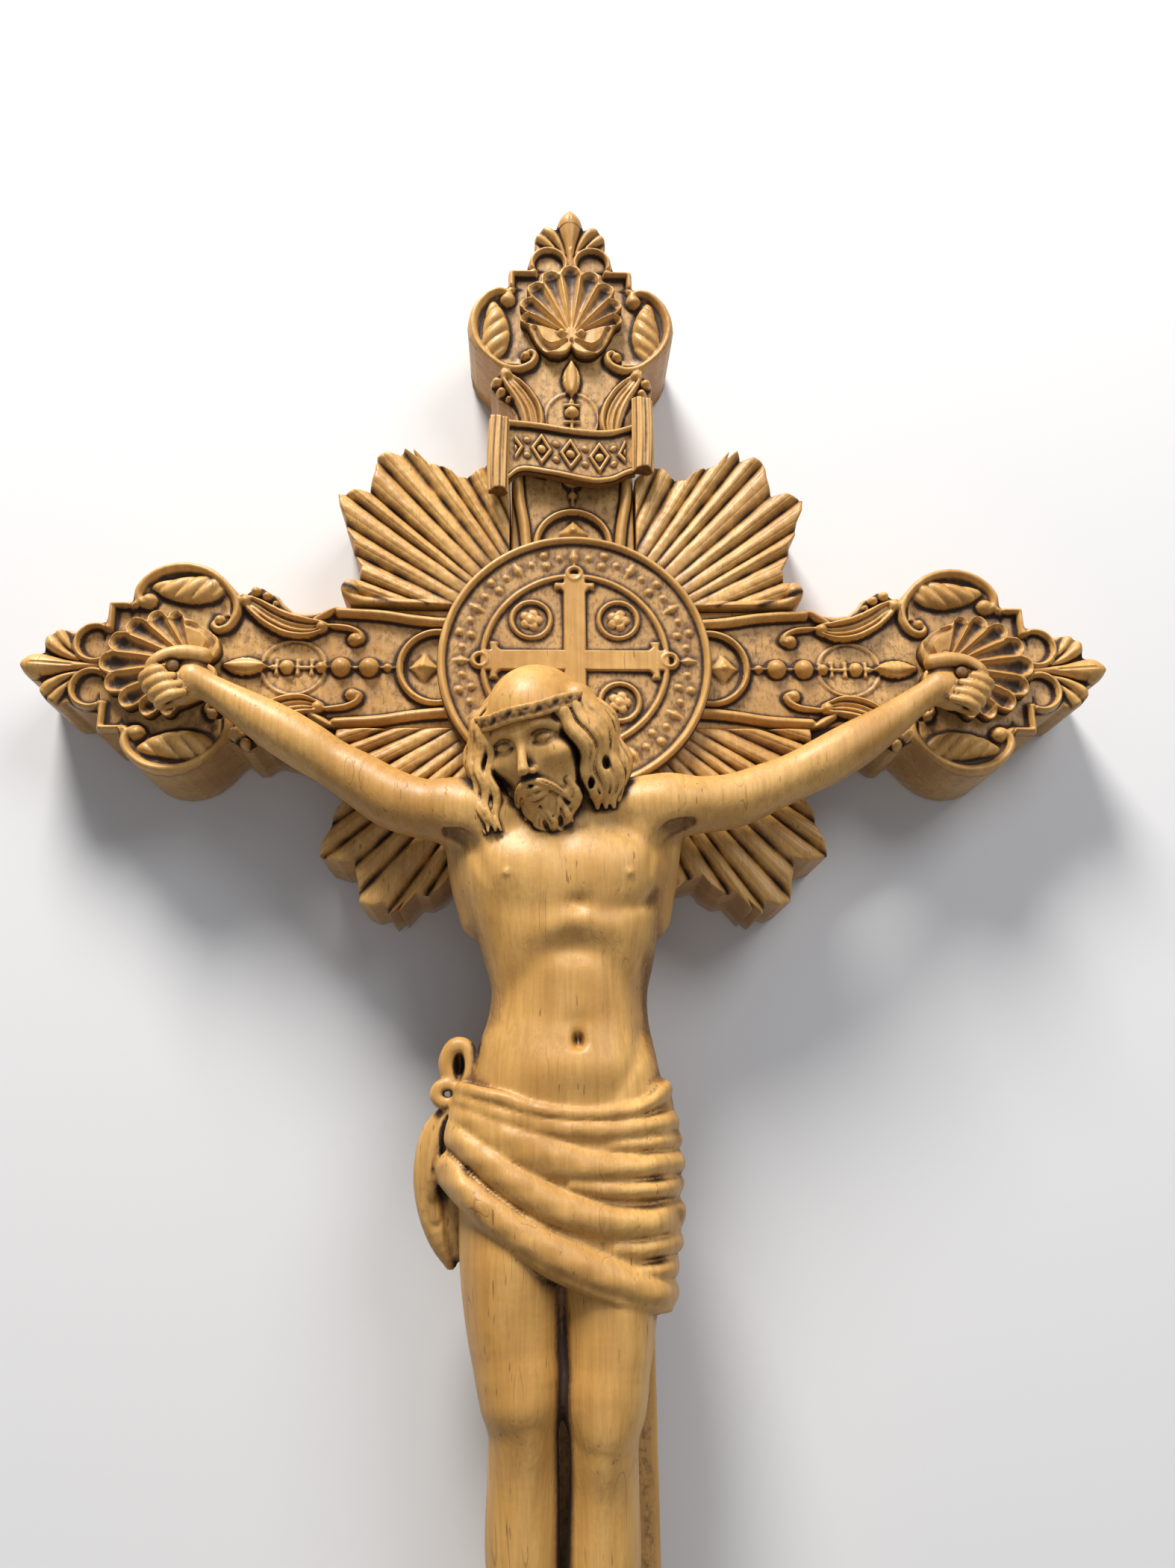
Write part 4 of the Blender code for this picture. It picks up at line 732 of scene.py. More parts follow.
def make_web(side):
    """The web of the blank left between a ray panel and the arm's end, a plate with its front
    edge eased."""
    corners = ((39.1, -9.0), (39.1, -19.0), (41.4, -17.3), (44.0, -15.4), (47.0, -13.9),
               (52.0, -12.8), (57.0, -12.0), (58.0, -9.0))
    outline = np.vstack([np.linspace(a, b, 6, endpoint=False)
                         for a, b in zip(corners, corners[1:] + corners[:1])])
    middle, half_width = outline.mean(axis=0), 8
    rows = []
    for z, inward in ((0.3, 0.35), (0.6, 0.0), (14.1, 0.0), (14.5, 0.15), (14.7, 0.5)):
        near = outline + (middle - outline) * (inward / half_width)
        rows.append(on_wall(side * near[:, 0], near[:, 1], z))
    # Dark wax with painted shade on the sunk web, darker towards its front edge
    wax = np.array([0.2, 0.2, 0.5, 0.7, 0.8])[:, None] + 0 * outline[:, 0]
    piece = tube_piece("web_left" if side < 0 else "web_right", np.array(rows), BOARD_WOOD,
                       flip=side < 0, wax=wax, ground=0.0)
    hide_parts("crossbar")


def make_boards():
    """The crossbar's two arms, the upright's head and its long foot, and the two webs."""
    fine = fine_rows(20.0, STEP)
    rows = stacked([HALF_BEAM + JOINT, 15], fine)
    for arm in ("left", "right"):
        arm_piece("crossbar_" + arm, arm, rows, COLUMNS, "crossbar", crossing=True)
    rows = stacked([-TOP_SHIFT, 6, 13], fine)
    top = arm_piece("upright_top", "top", rows, COLUMNS, "upright", crossing=True)
    cut_keyhole(top)
    shaft = np.arange(-FOOT_SHIFT, 24, 1.2)
    rows = stacked(shaft, fine_rows(24.5, STEP * 1.1))
    arm_piece("upright_foot", "bottom", rows, int(COLUMNS * 0.9), "upright")
    for side in (-1, 1):
        make_web(side)


# Rays

# The inner sides of a ray panel, beside the beams, its flutes, and its jagged outer edge
RAY_SIDE = 10.9
FLUTES = 14.5
RAY_EDGE = (
    (RAY_SIDE, 35.4), (12.6, 36.6), (15, 38), (17.4, 35.9), (20, 35.3), (21.4, 37), (23.3, 38.2),
    (25.2, 38), (27, 39.2), (27.8, 41), (29.3, 41.4), (30, 39.6), (32.2, 40.2), (34, 39.4),
    (34.2, 36.2), (35.1, 32.5), (37.4, 33), (40.4, 32), (40, 29.6), (39, 27.5), (38.6, 25),
    (37.3, 23), (37.3, 21),
)


def ray_edge(low):
    """The ray panel's jagged outer edge, as rising angles and the reach at each."""
    ends = ((38.8, 19.4), (38.8, 15.0), (38.8, RAY_SIDE)) if low else (
        (35.8, 18.0), (36.2, 15.8), (37.4, 15.2), (38.4, 14.6), (38.9, 13.4), (38.6, 12.2),
        (37.4, RAY_SIDE))
    points = np.array(RAY_EDGE + ends)
    angle = np.arctan2(points[:, 1], points[:, 0])
    reach = np.hypot(points[:, 0], points[:, 1])
    order = np.argsort(angle)
    return angle[order], reach[order]


def make_rays(name, side, up):
    """A fan of flutes in polar rows about the medal: the height falls from the ray's ridge into
    the groove beside it, deeper the further out, and each ridge is bowed across."""
    low = up < 0
    angle, reach = ray_edge(low)
    columns = 70
    turns = np.linspace(angle[0], angle[-1], 520)[:, None]
    far = np.interp(turns, angle, reach)
    beside = RAY_SIDE / np.minimum(np.cos(turns), np.sin(turns))
    near = np.minimum(np.maximum(MEDAL_RADIUS - 1.5, beside), far - 0.05)
    u = np.linspace(0, 1, columns)
    r = near + (far - near) * u
    margin = 0.17
    wander = 0.09 * np.sin(turns * 19 + side) + 0.06 * np.sin(turns * 41 + up * 2)
    phase = (turns - margin) / (math.pi / 2 - 2 * margin) * FLUTES + wander
    bow = np.abs(np.sin(math.pi * phase))
    depth = 0.25 + 1.25 * blend(20, 40, r)
    random = np.random.default_rng(5 + (side > 0) + 2 * low)
    rays = random.uniform(-0.22, 0.22, 40)[np.clip(phase.astype(int) + 2, 0, 39)]
    top = RIM + 0.1 - 0.3 * blend(30, 48, r) + rays * blend(26, 40, r)
    z = top - depth * (1 - bow**0.62)
    minor = np.abs(np.sin(3 * math.pi * phase))
    z = z - 0.12 * (1 - minor**0.5) * blend(25, 36, r) * bow
    x, y = r * np.cos(turns), r * np.sin(turns)
    z += 0.05 * noise_wave(x, y, 2.2, 8)
    z -= edge_drop(0.5, np.minimum(far - r, np.minimum(x, y) - RAY_SIDE + JOINT))
    if not low:
        panel = Carving(x, y, RIM - 0.2)
        panel.height = z
        knob = [(34.6, 11.3, 0.9, 0.9), (36.2, 11.6, 1.0, 1.2), (37.7, 12.4, 1.0, 1.4),
                (38.3, 13.7, 0.9, 1.4), (37.3, 14.6, 0.8, 1.3), (36.5, 13.9, 0.7, 1.2)]
        panel.band(knob)
        panel.dome(37.4, 13.4, 1.5, 1.5, 1.8)
        panel.band([(23.0, 11.0, 0.8, 0.7), (29.0, 11.1, 0.9, 0.9), (35.0, 11.4, 0.9, 0.9)])
        z = panel.height
    # Dark wax with painted shade: the grooves between the rays, and most near the medal standing
    # over them
    groove = (1 - bow) ** 2.2
    wax = 0.85 * groove * blend(20, 26, r) + 0.4 * blend(27, 22, r) + 0.1 * (1 - minor) ** 2
    wax = wax * (0.75 + 0.35 * noise_wave(x, y, 6, 3))
    drops = np.array([0.1, 0.3, 0.5, 0.7, 0.9, 1.0])
    down = z[:, -1:] * (1 - drops)
    down[:, 0] = z[:, -1] - 0.1
    up_wall = z[:, :1] * (1 - drops[::-1])
    back = near + (far - near) * np.linspace(1, 0, 6)[1:-1]
    r_ring = abreast(r, far + 0 * down, back, near + 0 * up_wall)
    z_ring = abreast(z, down, 0 * back, up_wall)
    walls = np.full((len(turns), r_ring.shape[1] - columns), WALL_WAX_AND_SHADE)
    wax = abreast(np.clip(wax, 0, 1), walls)
    points = on_wall(side * r_ring * np.cos(turns), up * r_ring * np.sin(turns), z_ring)
    piece = tube_piece(name, points, RAY_WOOD, flip=side * up < 0, wax=wax, ground=0.0)
    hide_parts(name)


# Medal


def ring_band(cut, radius, half, rise, centre=(0.0, 0.0)):
    """A round moulding about a centre."""
    gap = np.abs(np.hypot(cut.x - centre[0], cut.y - centre[1]) - radius)
    where = gap < half * 1.05
    cut.add(where, raised(gap[where], half, rise, 0.7))


def make_medal():
    """A disc in polar rows, with its rings, cross and roundels raised from one field, and beads,
    lozenges and rosettes standing in the lettered places."""
    rings = 118
    spokes = 660
    turns = full_turn(spokes)[None, :]
    rim, inner, arm, head = MEDAL_RADIUS, 15.1, 15.2, 12.2
    r = stacked([0.0], np.linspace(0.2, rim, rings))[:, None]
    x, y = r * np.cos(turns), r * np.sin(turns)
    field = MEDAL_TOP - 0.75
    cut = Carving(x, y, field)
    ring_band(cut, rim - 0.72, 0.72, 0.95)
    ring_band(cut, inner, 0.55, 0.75)
    a, b = np.maximum(np.abs(x), np.abs(y)), np.minimum(np.abs(x), np.abs(y))
    bar = np.minimum(1.85 - b, arm - a)
    across = np.minimum(3.3 - b, 0.62 - np.abs(a - head - 1.1))
    flare = np.minimum(0.9 * (a - head) + 1.9 - b, head + 1 - a)
    cross = np.maximum(np.maximum(bar, across), np.where(a > head, flare, -1))
    body = 0.7 * blend(-0.12, 0.22, cross)
    cut.add(cross > -0.12, body[cross > -0.12])
    roundels = 7.2
    for turn in range(4):
        c, s = round(math.cos(turn * math.pi / 2)), round(math.sin(turn * math.pi / 2))
        ring_band(cut, 1.15, 0.5, 0.95, (c * (arm + 0.3), s * (arm + 0.3)))
        middle = (roundels * (c - s), roundels * (s + c))
        ring_band(cut, 3.2, 0.42, 0.75, middle)
        rosette = np.hypot(x - middle[0], y - middle[1])
        around = np.arctan2(y - middle[1], x - middle[0])
        petals = 1.95 * (0.66 + 0.34 * np.abs(np.cos(2.5 * around)) ** 0.7)
        where = rosette < 2.2
        vein = 0.16 * np.exp(-(((rosette - 0.85) / 0.2) ** 2))
        leaf = np.where(rosette < petals, 0.62 * hump(rosette / petals) - vein, -1)
        cut.add(where, leaf[where])
        cut.dome(*middle, 0.55, 0.55, 0.75)
    lettered, marks = 18.6, 48
    spacing = math.tau / marks
    around = np.arctan2(y, x) + math.pi / 2
    nearest = np.round(around / spacing)
    kind = np.mod(nearest, 4)
    along = (around - nearest * spacing) * lettered
    across = r - lettered
    lozenge = np.abs(along) / 0.8 + np.abs(across) / 1.6
    small = raised(np.hypot(along, across), 0.5, 0.5)
    pairs = raised(np.hypot(along, np.abs(across) - 1.0), 0.62, 0.55)
    drop = np.where(lozenge < 1, 0.62 * np.maximum(1 - lozenge, 0) ** 0.6, -1.0)
    ring_marks = np.where(kind == 0, drop, np.where(kind == 2, pairs, small))
    where = (np.abs(across) < 2.2) & (ring_marks > -1)
    cut.add(where, ring_marks[where])
    z = cut.eased() + 0.03 * noise_wave(x, y, 5, 12)
    z = z - edge_drop(0.4, rim - r)
    # Dark wax with painted shade in the medal's hollows, and on its walls
    wax = wax_in(z, 2, 4, field)
    wax[:6] = wax[6:7].mean()
    level = blend(field + 0.35, field + 0.1, z)
    lower = MEDAL_LOW[2]
    walls = np.array([field - 0.3, field - 1.5, lower + 0.2, lower])[:, None] + 0 * turns
    x = stacked(x, np.repeat(x[-1:], 4, 0), 0 * turns)
    y = stacked(y, np.repeat(y[-1:], 4, 0), 0 * turns)
    z = stacked(z, walls, lower + 0 * turns)
    ends = np.full((5, spokes), 0.5)
    wax = stacked(wax, ends)
    level = stacked(level, 0 * ends)
    piece = turned_piece("medal_disc", on_wall(x, y, z), MEDAL_WOOD, wax=wax, ground=level)
    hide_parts("medal")


# Shells


# How far along an arm its shell's hinge is, and half of the nine lobes: each one's angle from
# straight out, its length and its hollow's half-width
HINGE = 62.2
LOBES = (
    (0.0, 15.1, 1.5), (16.4, 14.4, 1.48), (33.0, 13.2, 1.4), (50.5, 11.6, 1.3), (67.5, 9.9, 1.05),
)


def shell_side(turn):
    """How far a shell's edge is from the middle of its hinge, at each angle from straight out:
    nine round lobes over the top, a straight flank each side and a rounded foot."""
    half_turn, bulge, last = 8.6, 1.7, 75.5
    side = np.degrees(np.abs(turn))
    reach = np.full(side.shape, 3.0)
    for middle, length, _ in LOBES:
        across = (side - middle) / half_turn
        lobe = length - bulge + bulge * hump(across)
        reach = np.where(np.abs(across) < 1, np.maximum(reach, lobe), reach)
    flank = np.interp(side, (75, 80, 95, 118, 135, 150, 165, 176, 180),
                      (8.4, 7.8, 6.8, 6.0, 5.6, 4.9, 3.9, 2.6, 2.2))
    return np.where(side > last, flank, reach)


def make_shell(arm):
    """A fan of hollow lobes between raised ribs, in polar rows about its hinge."""
    rings = 68
    spokes = 460
    turns = np.linspace(-math.pi, math.pi, spokes, endpoint=False)[None, :]
    far = smoothed(shell_side(turns)[0], np.hanning(7), "wrap")
    u = np.linspace(0, 1, rings)[:, None] ** 0.9
    r = u * far
    x, y = r * np.sin(turns), HINGE + r * np.cos(turns)
    top = GROUND + 2.75
    cut = Carving(np.abs(x), y, GROUND)
    cut.height[:] = top - 0.35 * blend(6, 1, r) - 0.25 * blend(8, 15, r)
    for middle, length, half in LOBES:
        c, s = math.cos(math.radians(middle)), math.sin(math.radians(middle))
        marks = [(0.12, 0.18, 0.3), (0.4, 0.5, 0.8), (0.66, 0.85, 1.15), (0.84, 1.15, 1.35),
                 (0.89, 0.95, 1.1)]
        cut.trough([(s * length * q, HINGE + c * length * q, half * w, d) for q, w, d in marks],
                   power=0.75)
    cut.trough([(1.0, 60.9, 0.5, 0.5), (3.6, 59.4, 0.9, 1.1), (5.6, 60.6, 0.8, 0.9),
                (6.6, 63.2, 0.6, 0.6)])
    cut.dome(1.75, 62.3, 1.15, 1.15, 3.5)
    cut.dome(0, 61.2, 0.6, 0.9, 3.1)
    z = cut.height + 0.03 * noise_wave(x, y, 2.5, 6)
    z = z - edge_drop(0.7, (far - r) * 0.95)
    # Dark wax with painted shade: the lobes' hollows, the lower parts, and the walls darkest at the
    # foot on the ground
    cavity = blurred(z, 5, 5) - z
    wax = np.clip(cavity / 0.4, 0, 1) * 0.62 + 0.42 * blend(top - 0.5, top - 1.7, z)
    wax = np.clip(wax, 0, 1) * (u > 0.06)
    foot = GROUND - 0.2
    walls = np.array([0.12, 0.4, 0.7, 1.0])[:, None]
    down = z[-1:] + (foot - z[-1:]) * walls
    x = stacked(x, np.repeat(x[-1:], 4, 0), 0 * turns)
    y = stacked(y, np.repeat(y[-1:], 4, 0), HINGE + 0 * turns)
    z = stacked(z, down, foot + 0 * turns)
    wall_wax = np.array([0.3, 0.6, 0.95, 1.0, 1.0])[:, None] + 0 * turns
    piece = turned_piece("shell_" + arm + "_carved", on_arm(arm, y, x, z), SHELL_WOOD, flip=True,
                         wax=stacked(wax, wall_wax), ground=0.0)
    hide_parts("shell_" + arm)


# Banner


def make_banner():
    """A wavy strip between two rolls: its edges are raised, its field is sunk and holds a row of
    lozenges and beads where the lettering would be."""
    rows = 190
    columns = 96
    x = np.linspace(-11.6, 10.8, rows)[:, None]
    low = np.interp(x, (-11.6, -10.4, -9, -7, -3, 1, 4, 7, 9, 10.8),
                    (32.6, 34.4, 35.3, 35.2, 34.2, 33.0, 32.5, 33.2, 34.6, 35.2))
    high = np.interp(x, (-11.6, -8, -5, -2, 1, 4, 7, 9, 10.8),
                     (45.2, 45.1, 44.6, 43.7, 43.1, 42.9, 43.3, 44.1, 44.8))
    for edge in (low, high):
        edge[:, 0] = smoothed(edge[:, 0], np.ones(17))
    v = np.linspace(0, 1, columns)
    y = low + (high - low) * v
    wave = 0.45 * np.sin((x + 3.0) * 0.33)
    from_edge = np.minimum(y - low, high - y)
    front, ground, middle, half_field, spacing = 18.45, 18.1, -0.4, 9.6, 5.0
    face = front + wave + 0.7 * rounded(np.clip(np.abs(from_edge - 0.5) / 0.62, 0, 1))
    face -= 0.35 * blend(1.0, 1.3, from_edge)
    field = ground + wave
    along = (x - middle) - np.round((x - middle) / spacing) * spacing
    across = y - (low + high) / 2
    outline = np.abs(np.abs(along) / 1.9 + np.abs(across) / 3.1 - 0.82)
    between = np.hypot(np.abs(along) - spacing / 2, np.abs(across) - 1.5)
    shape = np.maximum.reduce([
        raised(outline, 0.2, 0.6), raised(np.hypot(along, across), 0.8, 0.75),
        raised(between, 0.6, 0.6),
    ])
    marked = (np.abs(x - middle) < half_field) & (shape > 0)
    z = smooth_max(face, np.where(marked, field + shape, field - 1), 0.1)
    z = z - edge_drop(0.35, from_edge)
    # Dark wax with painted shade in the sunk field beside the raised edges, and on the walls
    wax = wax_in(z, 3, 3, ground)
    wax = np.clip(wax + 0.25 * blend(1.9, 1.2, from_edge) * blend(0.9, 1.2, from_edge), 0, 1)
    level = blend(field + 0.25, field + 0.05, z) * blend(0.9, 1.3, from_edge)
    back = 16.9 + wave * 0.4
    drops = np.array([0.15, 0.5, 0.9])
    top_wall = z[:, -1:] + (back - z[:, -1:]) * drops
    low_wall = z[:, :1] + (back - z[:, :1]) * drops[::-1]
    y_ring = abreast(y, high + 0 * top_wall, high, low, low + 0 * low_wall)
    z_ring = abreast(z, top_wall, back, back, low_wall)
    dark = np.full((rows, 8), 0.45)
    piece = tube_piece("titulus_banner", on_wall(x + 0 * y_ring, y_ring, z_ring), BOARD_WOOD,
                       flip=True, wax=abreast(wax, dark),
                       ground=abreast(level, 0 * dark))
    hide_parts("titulus")


def make_roll(name, foot, head, radius, lean, flutes):
    """A rolled end of the banner: a fluted, slightly swelling column from foot to head, with its
    two ends dished."""
    rows, ring, out = 60, 96, 18.8
    v = np.linspace(0, 1, rows)[:, None]
    turns = full_turn(ring)[None, :]
    swell = 1 + 0.06 * np.sin(v * math.pi)
    flute = 0.09 * np.cos(turns * flutes + 1.6 * np.sin(v * 2.2)) + 0.05 * np.cos(turns * 17 + v)
    r = radius * (swell + flute * 0.8)
    x = foot[0] + (head[0] - foot[0]) * v + r * np.cos(turns) + lean * np.sin(v * math.pi)
    y = foot[1] + (head[1] - foot[1]) * v + 0.25 * np.cos(turns * 2 + 0.7) * (2 * v - 1)
    z = out + r * np.sin(turns) * 0.95
    ends = []
    for row, sign in ((0, -1), (-1, 1)):
        cx, cz = x[row].mean(), z[row].mean()
        for shrink, dip in ((0.88, -0.12), (0.6, 0.25), (0.3, 0.05)):
            ends.append(
                [cx + (x[row] - cx) * shrink, y[row] - sign * dip, cz + (z[row] - cz) * shrink]
            )
    near, far = np.array(ends[2::-1]), np.array(ends[3:])
    near = stacked(near[:1].mean(axis=2, keepdims=True) + 0 * near[:1], near)
    far = stacked(far, far[-1:].mean(axis=2, keepdims=True) + 0 * far[-1:])
    x, y, z = (stacked(near[:, k], body, far[:, k]) for k, body in enumerate((x, y, z)))
    # Dark wax with painted shade in the flutes' hollows and the dished ends
    wax = np.clip(0.1 - flute * 3.2, 0, 0.45) + 0 * v
    wax = np.pad(wax, ((4, 4), (0, 0)), constant_values=0.5)
    piece = turned_piece(name, on_wall(x, y, z), BOARD_WOOD, wax=wax, ground=0.0)
    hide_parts("titulus")


# The figure


class Clay:
    """A solid worked up on a grid of cells. Each cell holds its distance to the surface in
    millimetres, below zero inside, and forms are pressed on or cut away with a soft join."""

    SPARE = 2.8
    FAR = 50.0

    def __init__(self, low, high, cell):
        self.cell = cell
        self.low = np.array(low, float)
        self.axes = [np.arange(a, b, cell, dtype=np.float32) for a, b in zip(low, high)]
        self.value = np.full([len(axis) for axis in self.axes], self.FAR, np.float32)

    def window(self, low, high):
        """The cells between two corners, and their places; nothing where they miss the grid."""
        cells = [
            (int((a - axis[0]) / self.cell), int((b - axis[0]) / self.cell) + 2, len(axis))
            for a, b, axis in zip(low, high, self.axes)
        ]
        where = tuple(slice(max(a, 0), max(min(b, count), 0)) for a, b, count in cells)
        if any(part.start >= part.stop for part in where):
            return None, None
        spots = [axis[part] for axis, part in zip(self.axes, where)]
        return where, np.meshgrid(*spots, indexing="ij", sparse=True)

    def press(self, low, high, shape, width, away=False):
        """Joins a form within its own corners, or cuts it away, rounding the meeting by width."""
        where, spots = self.window([v - self.SPARE for v in low], [v + self.SPARE for v in high])
        if where is None:
            return
        old = self.value[where]
        new = shape(*spots).astype(np.float32)
        if away:
            old, new = -old, new
        h = np.clip(0.5 + 0.5 * (old - new) / width, 0, 1)
        joined = old + (new - old) * h - width * h * (1 - h)
        self.value[where] = -joined if away else joined

    def limb(self, points, width=1.0, away=False, steps=3):
        """A round tapering form through (x, y, z, radius)."""
        path = through(points, steps).astype(np.float32)
        reach = path[:, 3].max()

        def shape(x, y, z):
            best = np.float32(1e9)
            for a, b in zip(path[:-1], path[1:]):
                d = b - a
                from_a = [v - w for v, w in zip((x, y, z), a)]
                long = d[0] * d[0] + d[1] * d[1] + d[2] * d[2] + 1e-9
                u = np.clip(sum(v * w for v, w in zip(from_a, d)) / long, 0, 1)
                gap = sum((v - u * w) ** 2 for v, w in zip(from_a, d))
                best = np.minimum(best, np.sqrt(gap) - (a[3] + u * d[3]))
            return best

        low, high = path[:, :3].min(0) - reach, path[:, :3].max(0) + reach
        self.press(low, high, shape, width, away)

    def egg(self, centre, radii, turn=None, width=1.0, away=False):
        """An egg with three half-lengths, turned by a rotation matrix."""
        turn = np.eye(3) if turn is None else np.array(turn)
        reach = max(radii)

        def shape(x, y, z):
            dx, dy, dz = x - centre[0], y - centre[1], z - centre[2]
            local = [turn[0][i] * dx + turn[1][i] * dy + turn[2][i] * dz for i in range(3)]
            once = sum((v / r) ** 2 for v, r in zip(local, radii)) ** 0.5
            twice = sum((v / (r * r)) ** 2 for v, r in zip(local, radii)) ** 0.5
            return once * (once - 1) / np.maximum(twice, 1e-4)

        self.press(np.array(centre) - reach, np.array(centre) + reach, shape, width, away)

    def sample(self, points):
        """The distance at any places, between the cells; far away outside the grid."""
        spot = (points - self.low) / self.cell
        index = np.floor(spot).astype(int)
        shape = np.array(self.value.shape)
        known = np.all((index >= 0) & (index < shape - 1), axis=1)
        index = np.clip(index, 0, shape - 2)
        part = spot - index
        total = np.zeros(len(points))
        for corner in np.ndindex(2, 2, 2):
            weight = np.prod(np.where(corner, part, 1 - part), axis=1)
            total += weight * self.value[tuple((index + corner).T)]
        return np.where(known, total, self.FAR)

    def slope(self, points):
        """The unit direction straight out of the surface."""
        half = self.cell * 0.8
        ways = half * np.eye(3)
        out = np.stack([self.sample(points + e) - self.sample(points - e) for e in ways], axis=1)
        return out / np.maximum(np.linalg.norm(out, axis=1, keepdims=True), 1e-6)

    def skin(self):
        """The surface as one point in each cell that it crosses, at the mean of the places where
        it crosses the cell's edges, and one four-sided face for each crossed edge."""
        value = self.value
        cells = tuple(n - 1 for n in value.shape)
        count = np.zeros(cells, np.float32)
        total = np.zeros((3, *cells), np.float32)
        crossings = []
        for axis in range(3):
            moved = np.moveaxis(value, axis, 0)
            a, b = moved[:-1], moved[1:]
            crossed = (a < 0) != (b < 0)
            part = np.where(crossed, a / np.where(crossed, a - b, 1), 0)
            crossings.append((crossed, a < 0))
            others = [i for i in range(3) if i != axis]
            sums = [np.moveaxis(total[i], axis, 0) for i in (axis, *others)]
            counted = np.moveaxis(count, axis, 0)
            rows, columns = crossed.shape[1] - 1, crossed.shape[2] - 1
            for j, k in np.ndindex(2, 2):
                place = (slice(None), slice(j, rows + j), slice(k, columns + k))
                here = crossed[place]
                counted += here
                sums[0] += part[place]
                sums[1] += here * j
                sums[2] += here * k
        used = count > 0
        number = np.full(cells, -1)
        number[used] = np.arange(used.sum())
        corner = np.stack(np.nonzero(used), axis=1)
        points = self.low + self.cell * (corner + (total[:, used] / count[used]).T)
        quads = []
        for axis, (crossed, inside) in enumerate(crossings):
            around = np.moveaxis(number, axis, 0)
            i, j, k = np.nonzero(crossed[:, 1:-1, 1:-1])
            ring = ((0, 0), (1, 0), (1, 1), (0, 1))
            face = np.stack([around[i, j + dj, k + dk] for dj, dk in ring], axis=1)
            outward = inside[:, 1:-1, 1:-1][i, j, k]
            if axis == 1:
                outward = ~outward
            face[~outward] = face[~outward][:, ::-1]
            quads.append(face)
        return points, stacked(*quads)


def blended(table, at):
    """A smooth curve through a short table of (place, value...) with rising places."""
    known = through(np.array(table, float), 8)
    return [np.interp(at, known[:, 0], column) for column in known[:, 1:].T]


def lies_behind(x, y):
    """How far out the carving behind the figure stands: the ground, the rims and rays, the
    medal, and the shells under the hands."""
    rays_end, shells_start, shells_foot, space = -42.0, 56.8, -14.0, 0.25
    behind = np.where(y > rays_end, RIM + space, GROUND + space)
    behind = np.where(np.hypot(x, y) < MEDAL_RADIUS + 0.3, MEDAL_TOP + 0.3, behind)
    return np.where((np.abs(x) > shells_start) & (y > shells_foot), GROUND + 3.2, behind)


# The trunk from the shoulders down: height, its two sides, and how far out its front stands
TRUNK = (
    (-88, -13, 6.5, 24), (-84, -16.4, 11, 27.4), (-80, -18, 12.9, 29.2), (-74, -17.3, 12.8, 29.3),
    (-68, -16.2, 12, 29.2), (-62, -14.9, 11, 28.8), (-58, -13.6, 10.4, 28.3),
    (-54, -13.1, 10.4, 28.2), (-50, -14, 11.2, 28.6), (-45, -15.6, 12, 29.2),
    (-40, -17.2, 12.7, 29.5), (-37, -17.9, 13.2, 29.4), (-34, -18.6, 13.8, 28.8),
    (-31, -18.9, 14.4, 27.6), (-27.5, -17.5, 13.2, 25.6), (-24.5, -12, 8, 23.4),
)
# Swells and hollows of the front: place, half-widths across and along, rise and turn
SWELLS = (
    (-9.6, -35, 7, 5.6, 1, 0.2), (5.4, -34.6, 6.8, 5.4, 1, -0.2), (-0.2, -42.2, 1.7, 1.4, -0.8, 0),
    (-3.8, -45.6, 4.4, 2, 0.4, 0.3), (3.2, -45.4, 4.2, 2, 0.35, -0.3),
    (-0.8, -48.8, 3.2, 2, -0.6, 0), (-4.6, -54.4, 3.2, 4.2, 0.3, 0), (2.2, -54.4, 3, 4.2, 0.3, 0),
    (9.4, -55.5, 1.8, 6, -1, 0.1), (-3.4, -65.6, 6, 3.4, 0.8, 0), (3.2, -65.4, 4.6, 3.2, 0.6, 0),
    (-0.5, -59.2, 2, 1.5, -0.4, 0), (-0.5, -61.7, 0.8, 1.25, -2.3, 0),
    (-0.5, -63.3, 1, 0.5, 0.3, 0), (-10.9, -37.6, 0.55, 0.55, 0.4, 0),
    (7.4, -37.6, 0.55, 0.55, 0.45, 0),
)
# Soft grooves of the front: lines of (x, y, half-width, depth)
GROOVES = (
    ((-2.6, -30.5, 1.5, 0.4), (-2.2, -35, 1.5, 0.45), (-1, -41.5, 1.4, 0.5)),
    ((-14.6, -39.8, 2, 0.1), (-9, -42.4, 2, 0.2), (0, -43, 1.8, 0.2), (5, -42.8, 1.5, 0.3),
     (9.6, -41.4, 1.1, 0.6), (11, -39.6, 0.9, 0.35)),
    ((-1.2, -47.8, 2, 0.4), (-5.8, -50.2, 2, 0.35), (-9.6, -54.6, 2, 0.3), (-11.4, -59, 2, 0.2)),
    ((-1.2, -47.8, 2, 0.4), (3.6, -50.2, 2, 0.4), (7.2, -54.6, 1.9, 0.45), (8.6, -60, 1.8, 0.4)),
    ((-1.1, -51, 0.9, 0.25), (-0.6, -60, 0.9, 0.3)),
    ((8.8, -60, 1.1, 0.3), (7.6, -64.6, 1.1, 0.4), (5.2, -68.6, 1, 0.2)),
)


def front_places(x, y):
    """A grid's places seen from its front."""
    return np.broadcast_arrays(x[:, :, 0], y[:, :, 0])


def muscles(x, y):
    """The soft swells and hollows of the chest and belly over the plain trunk."""
    flat_x, flat_y = front_places(x, y)
    total = np.zeros(flat_x.shape)
    for cx, cy, across, along, rise, turn in SWELLS:
        c, s = math.cos(turn), math.sin(turn)
        dx, dy = flat_x - cx, flat_y - cy
        far = ((c * dx + s * dy) / across) ** 2 + ((c * dy - s * dx) / along) ** 2
        total += rise * np.exp(-far)
    for groove in GROOVES:
        gap, _, (half, depth) = to_path(flat_x, flat_y, through(groove, 3))
        total -= depth * np.exp(-((gap / half) ** 2))
    return total[:, :, None]


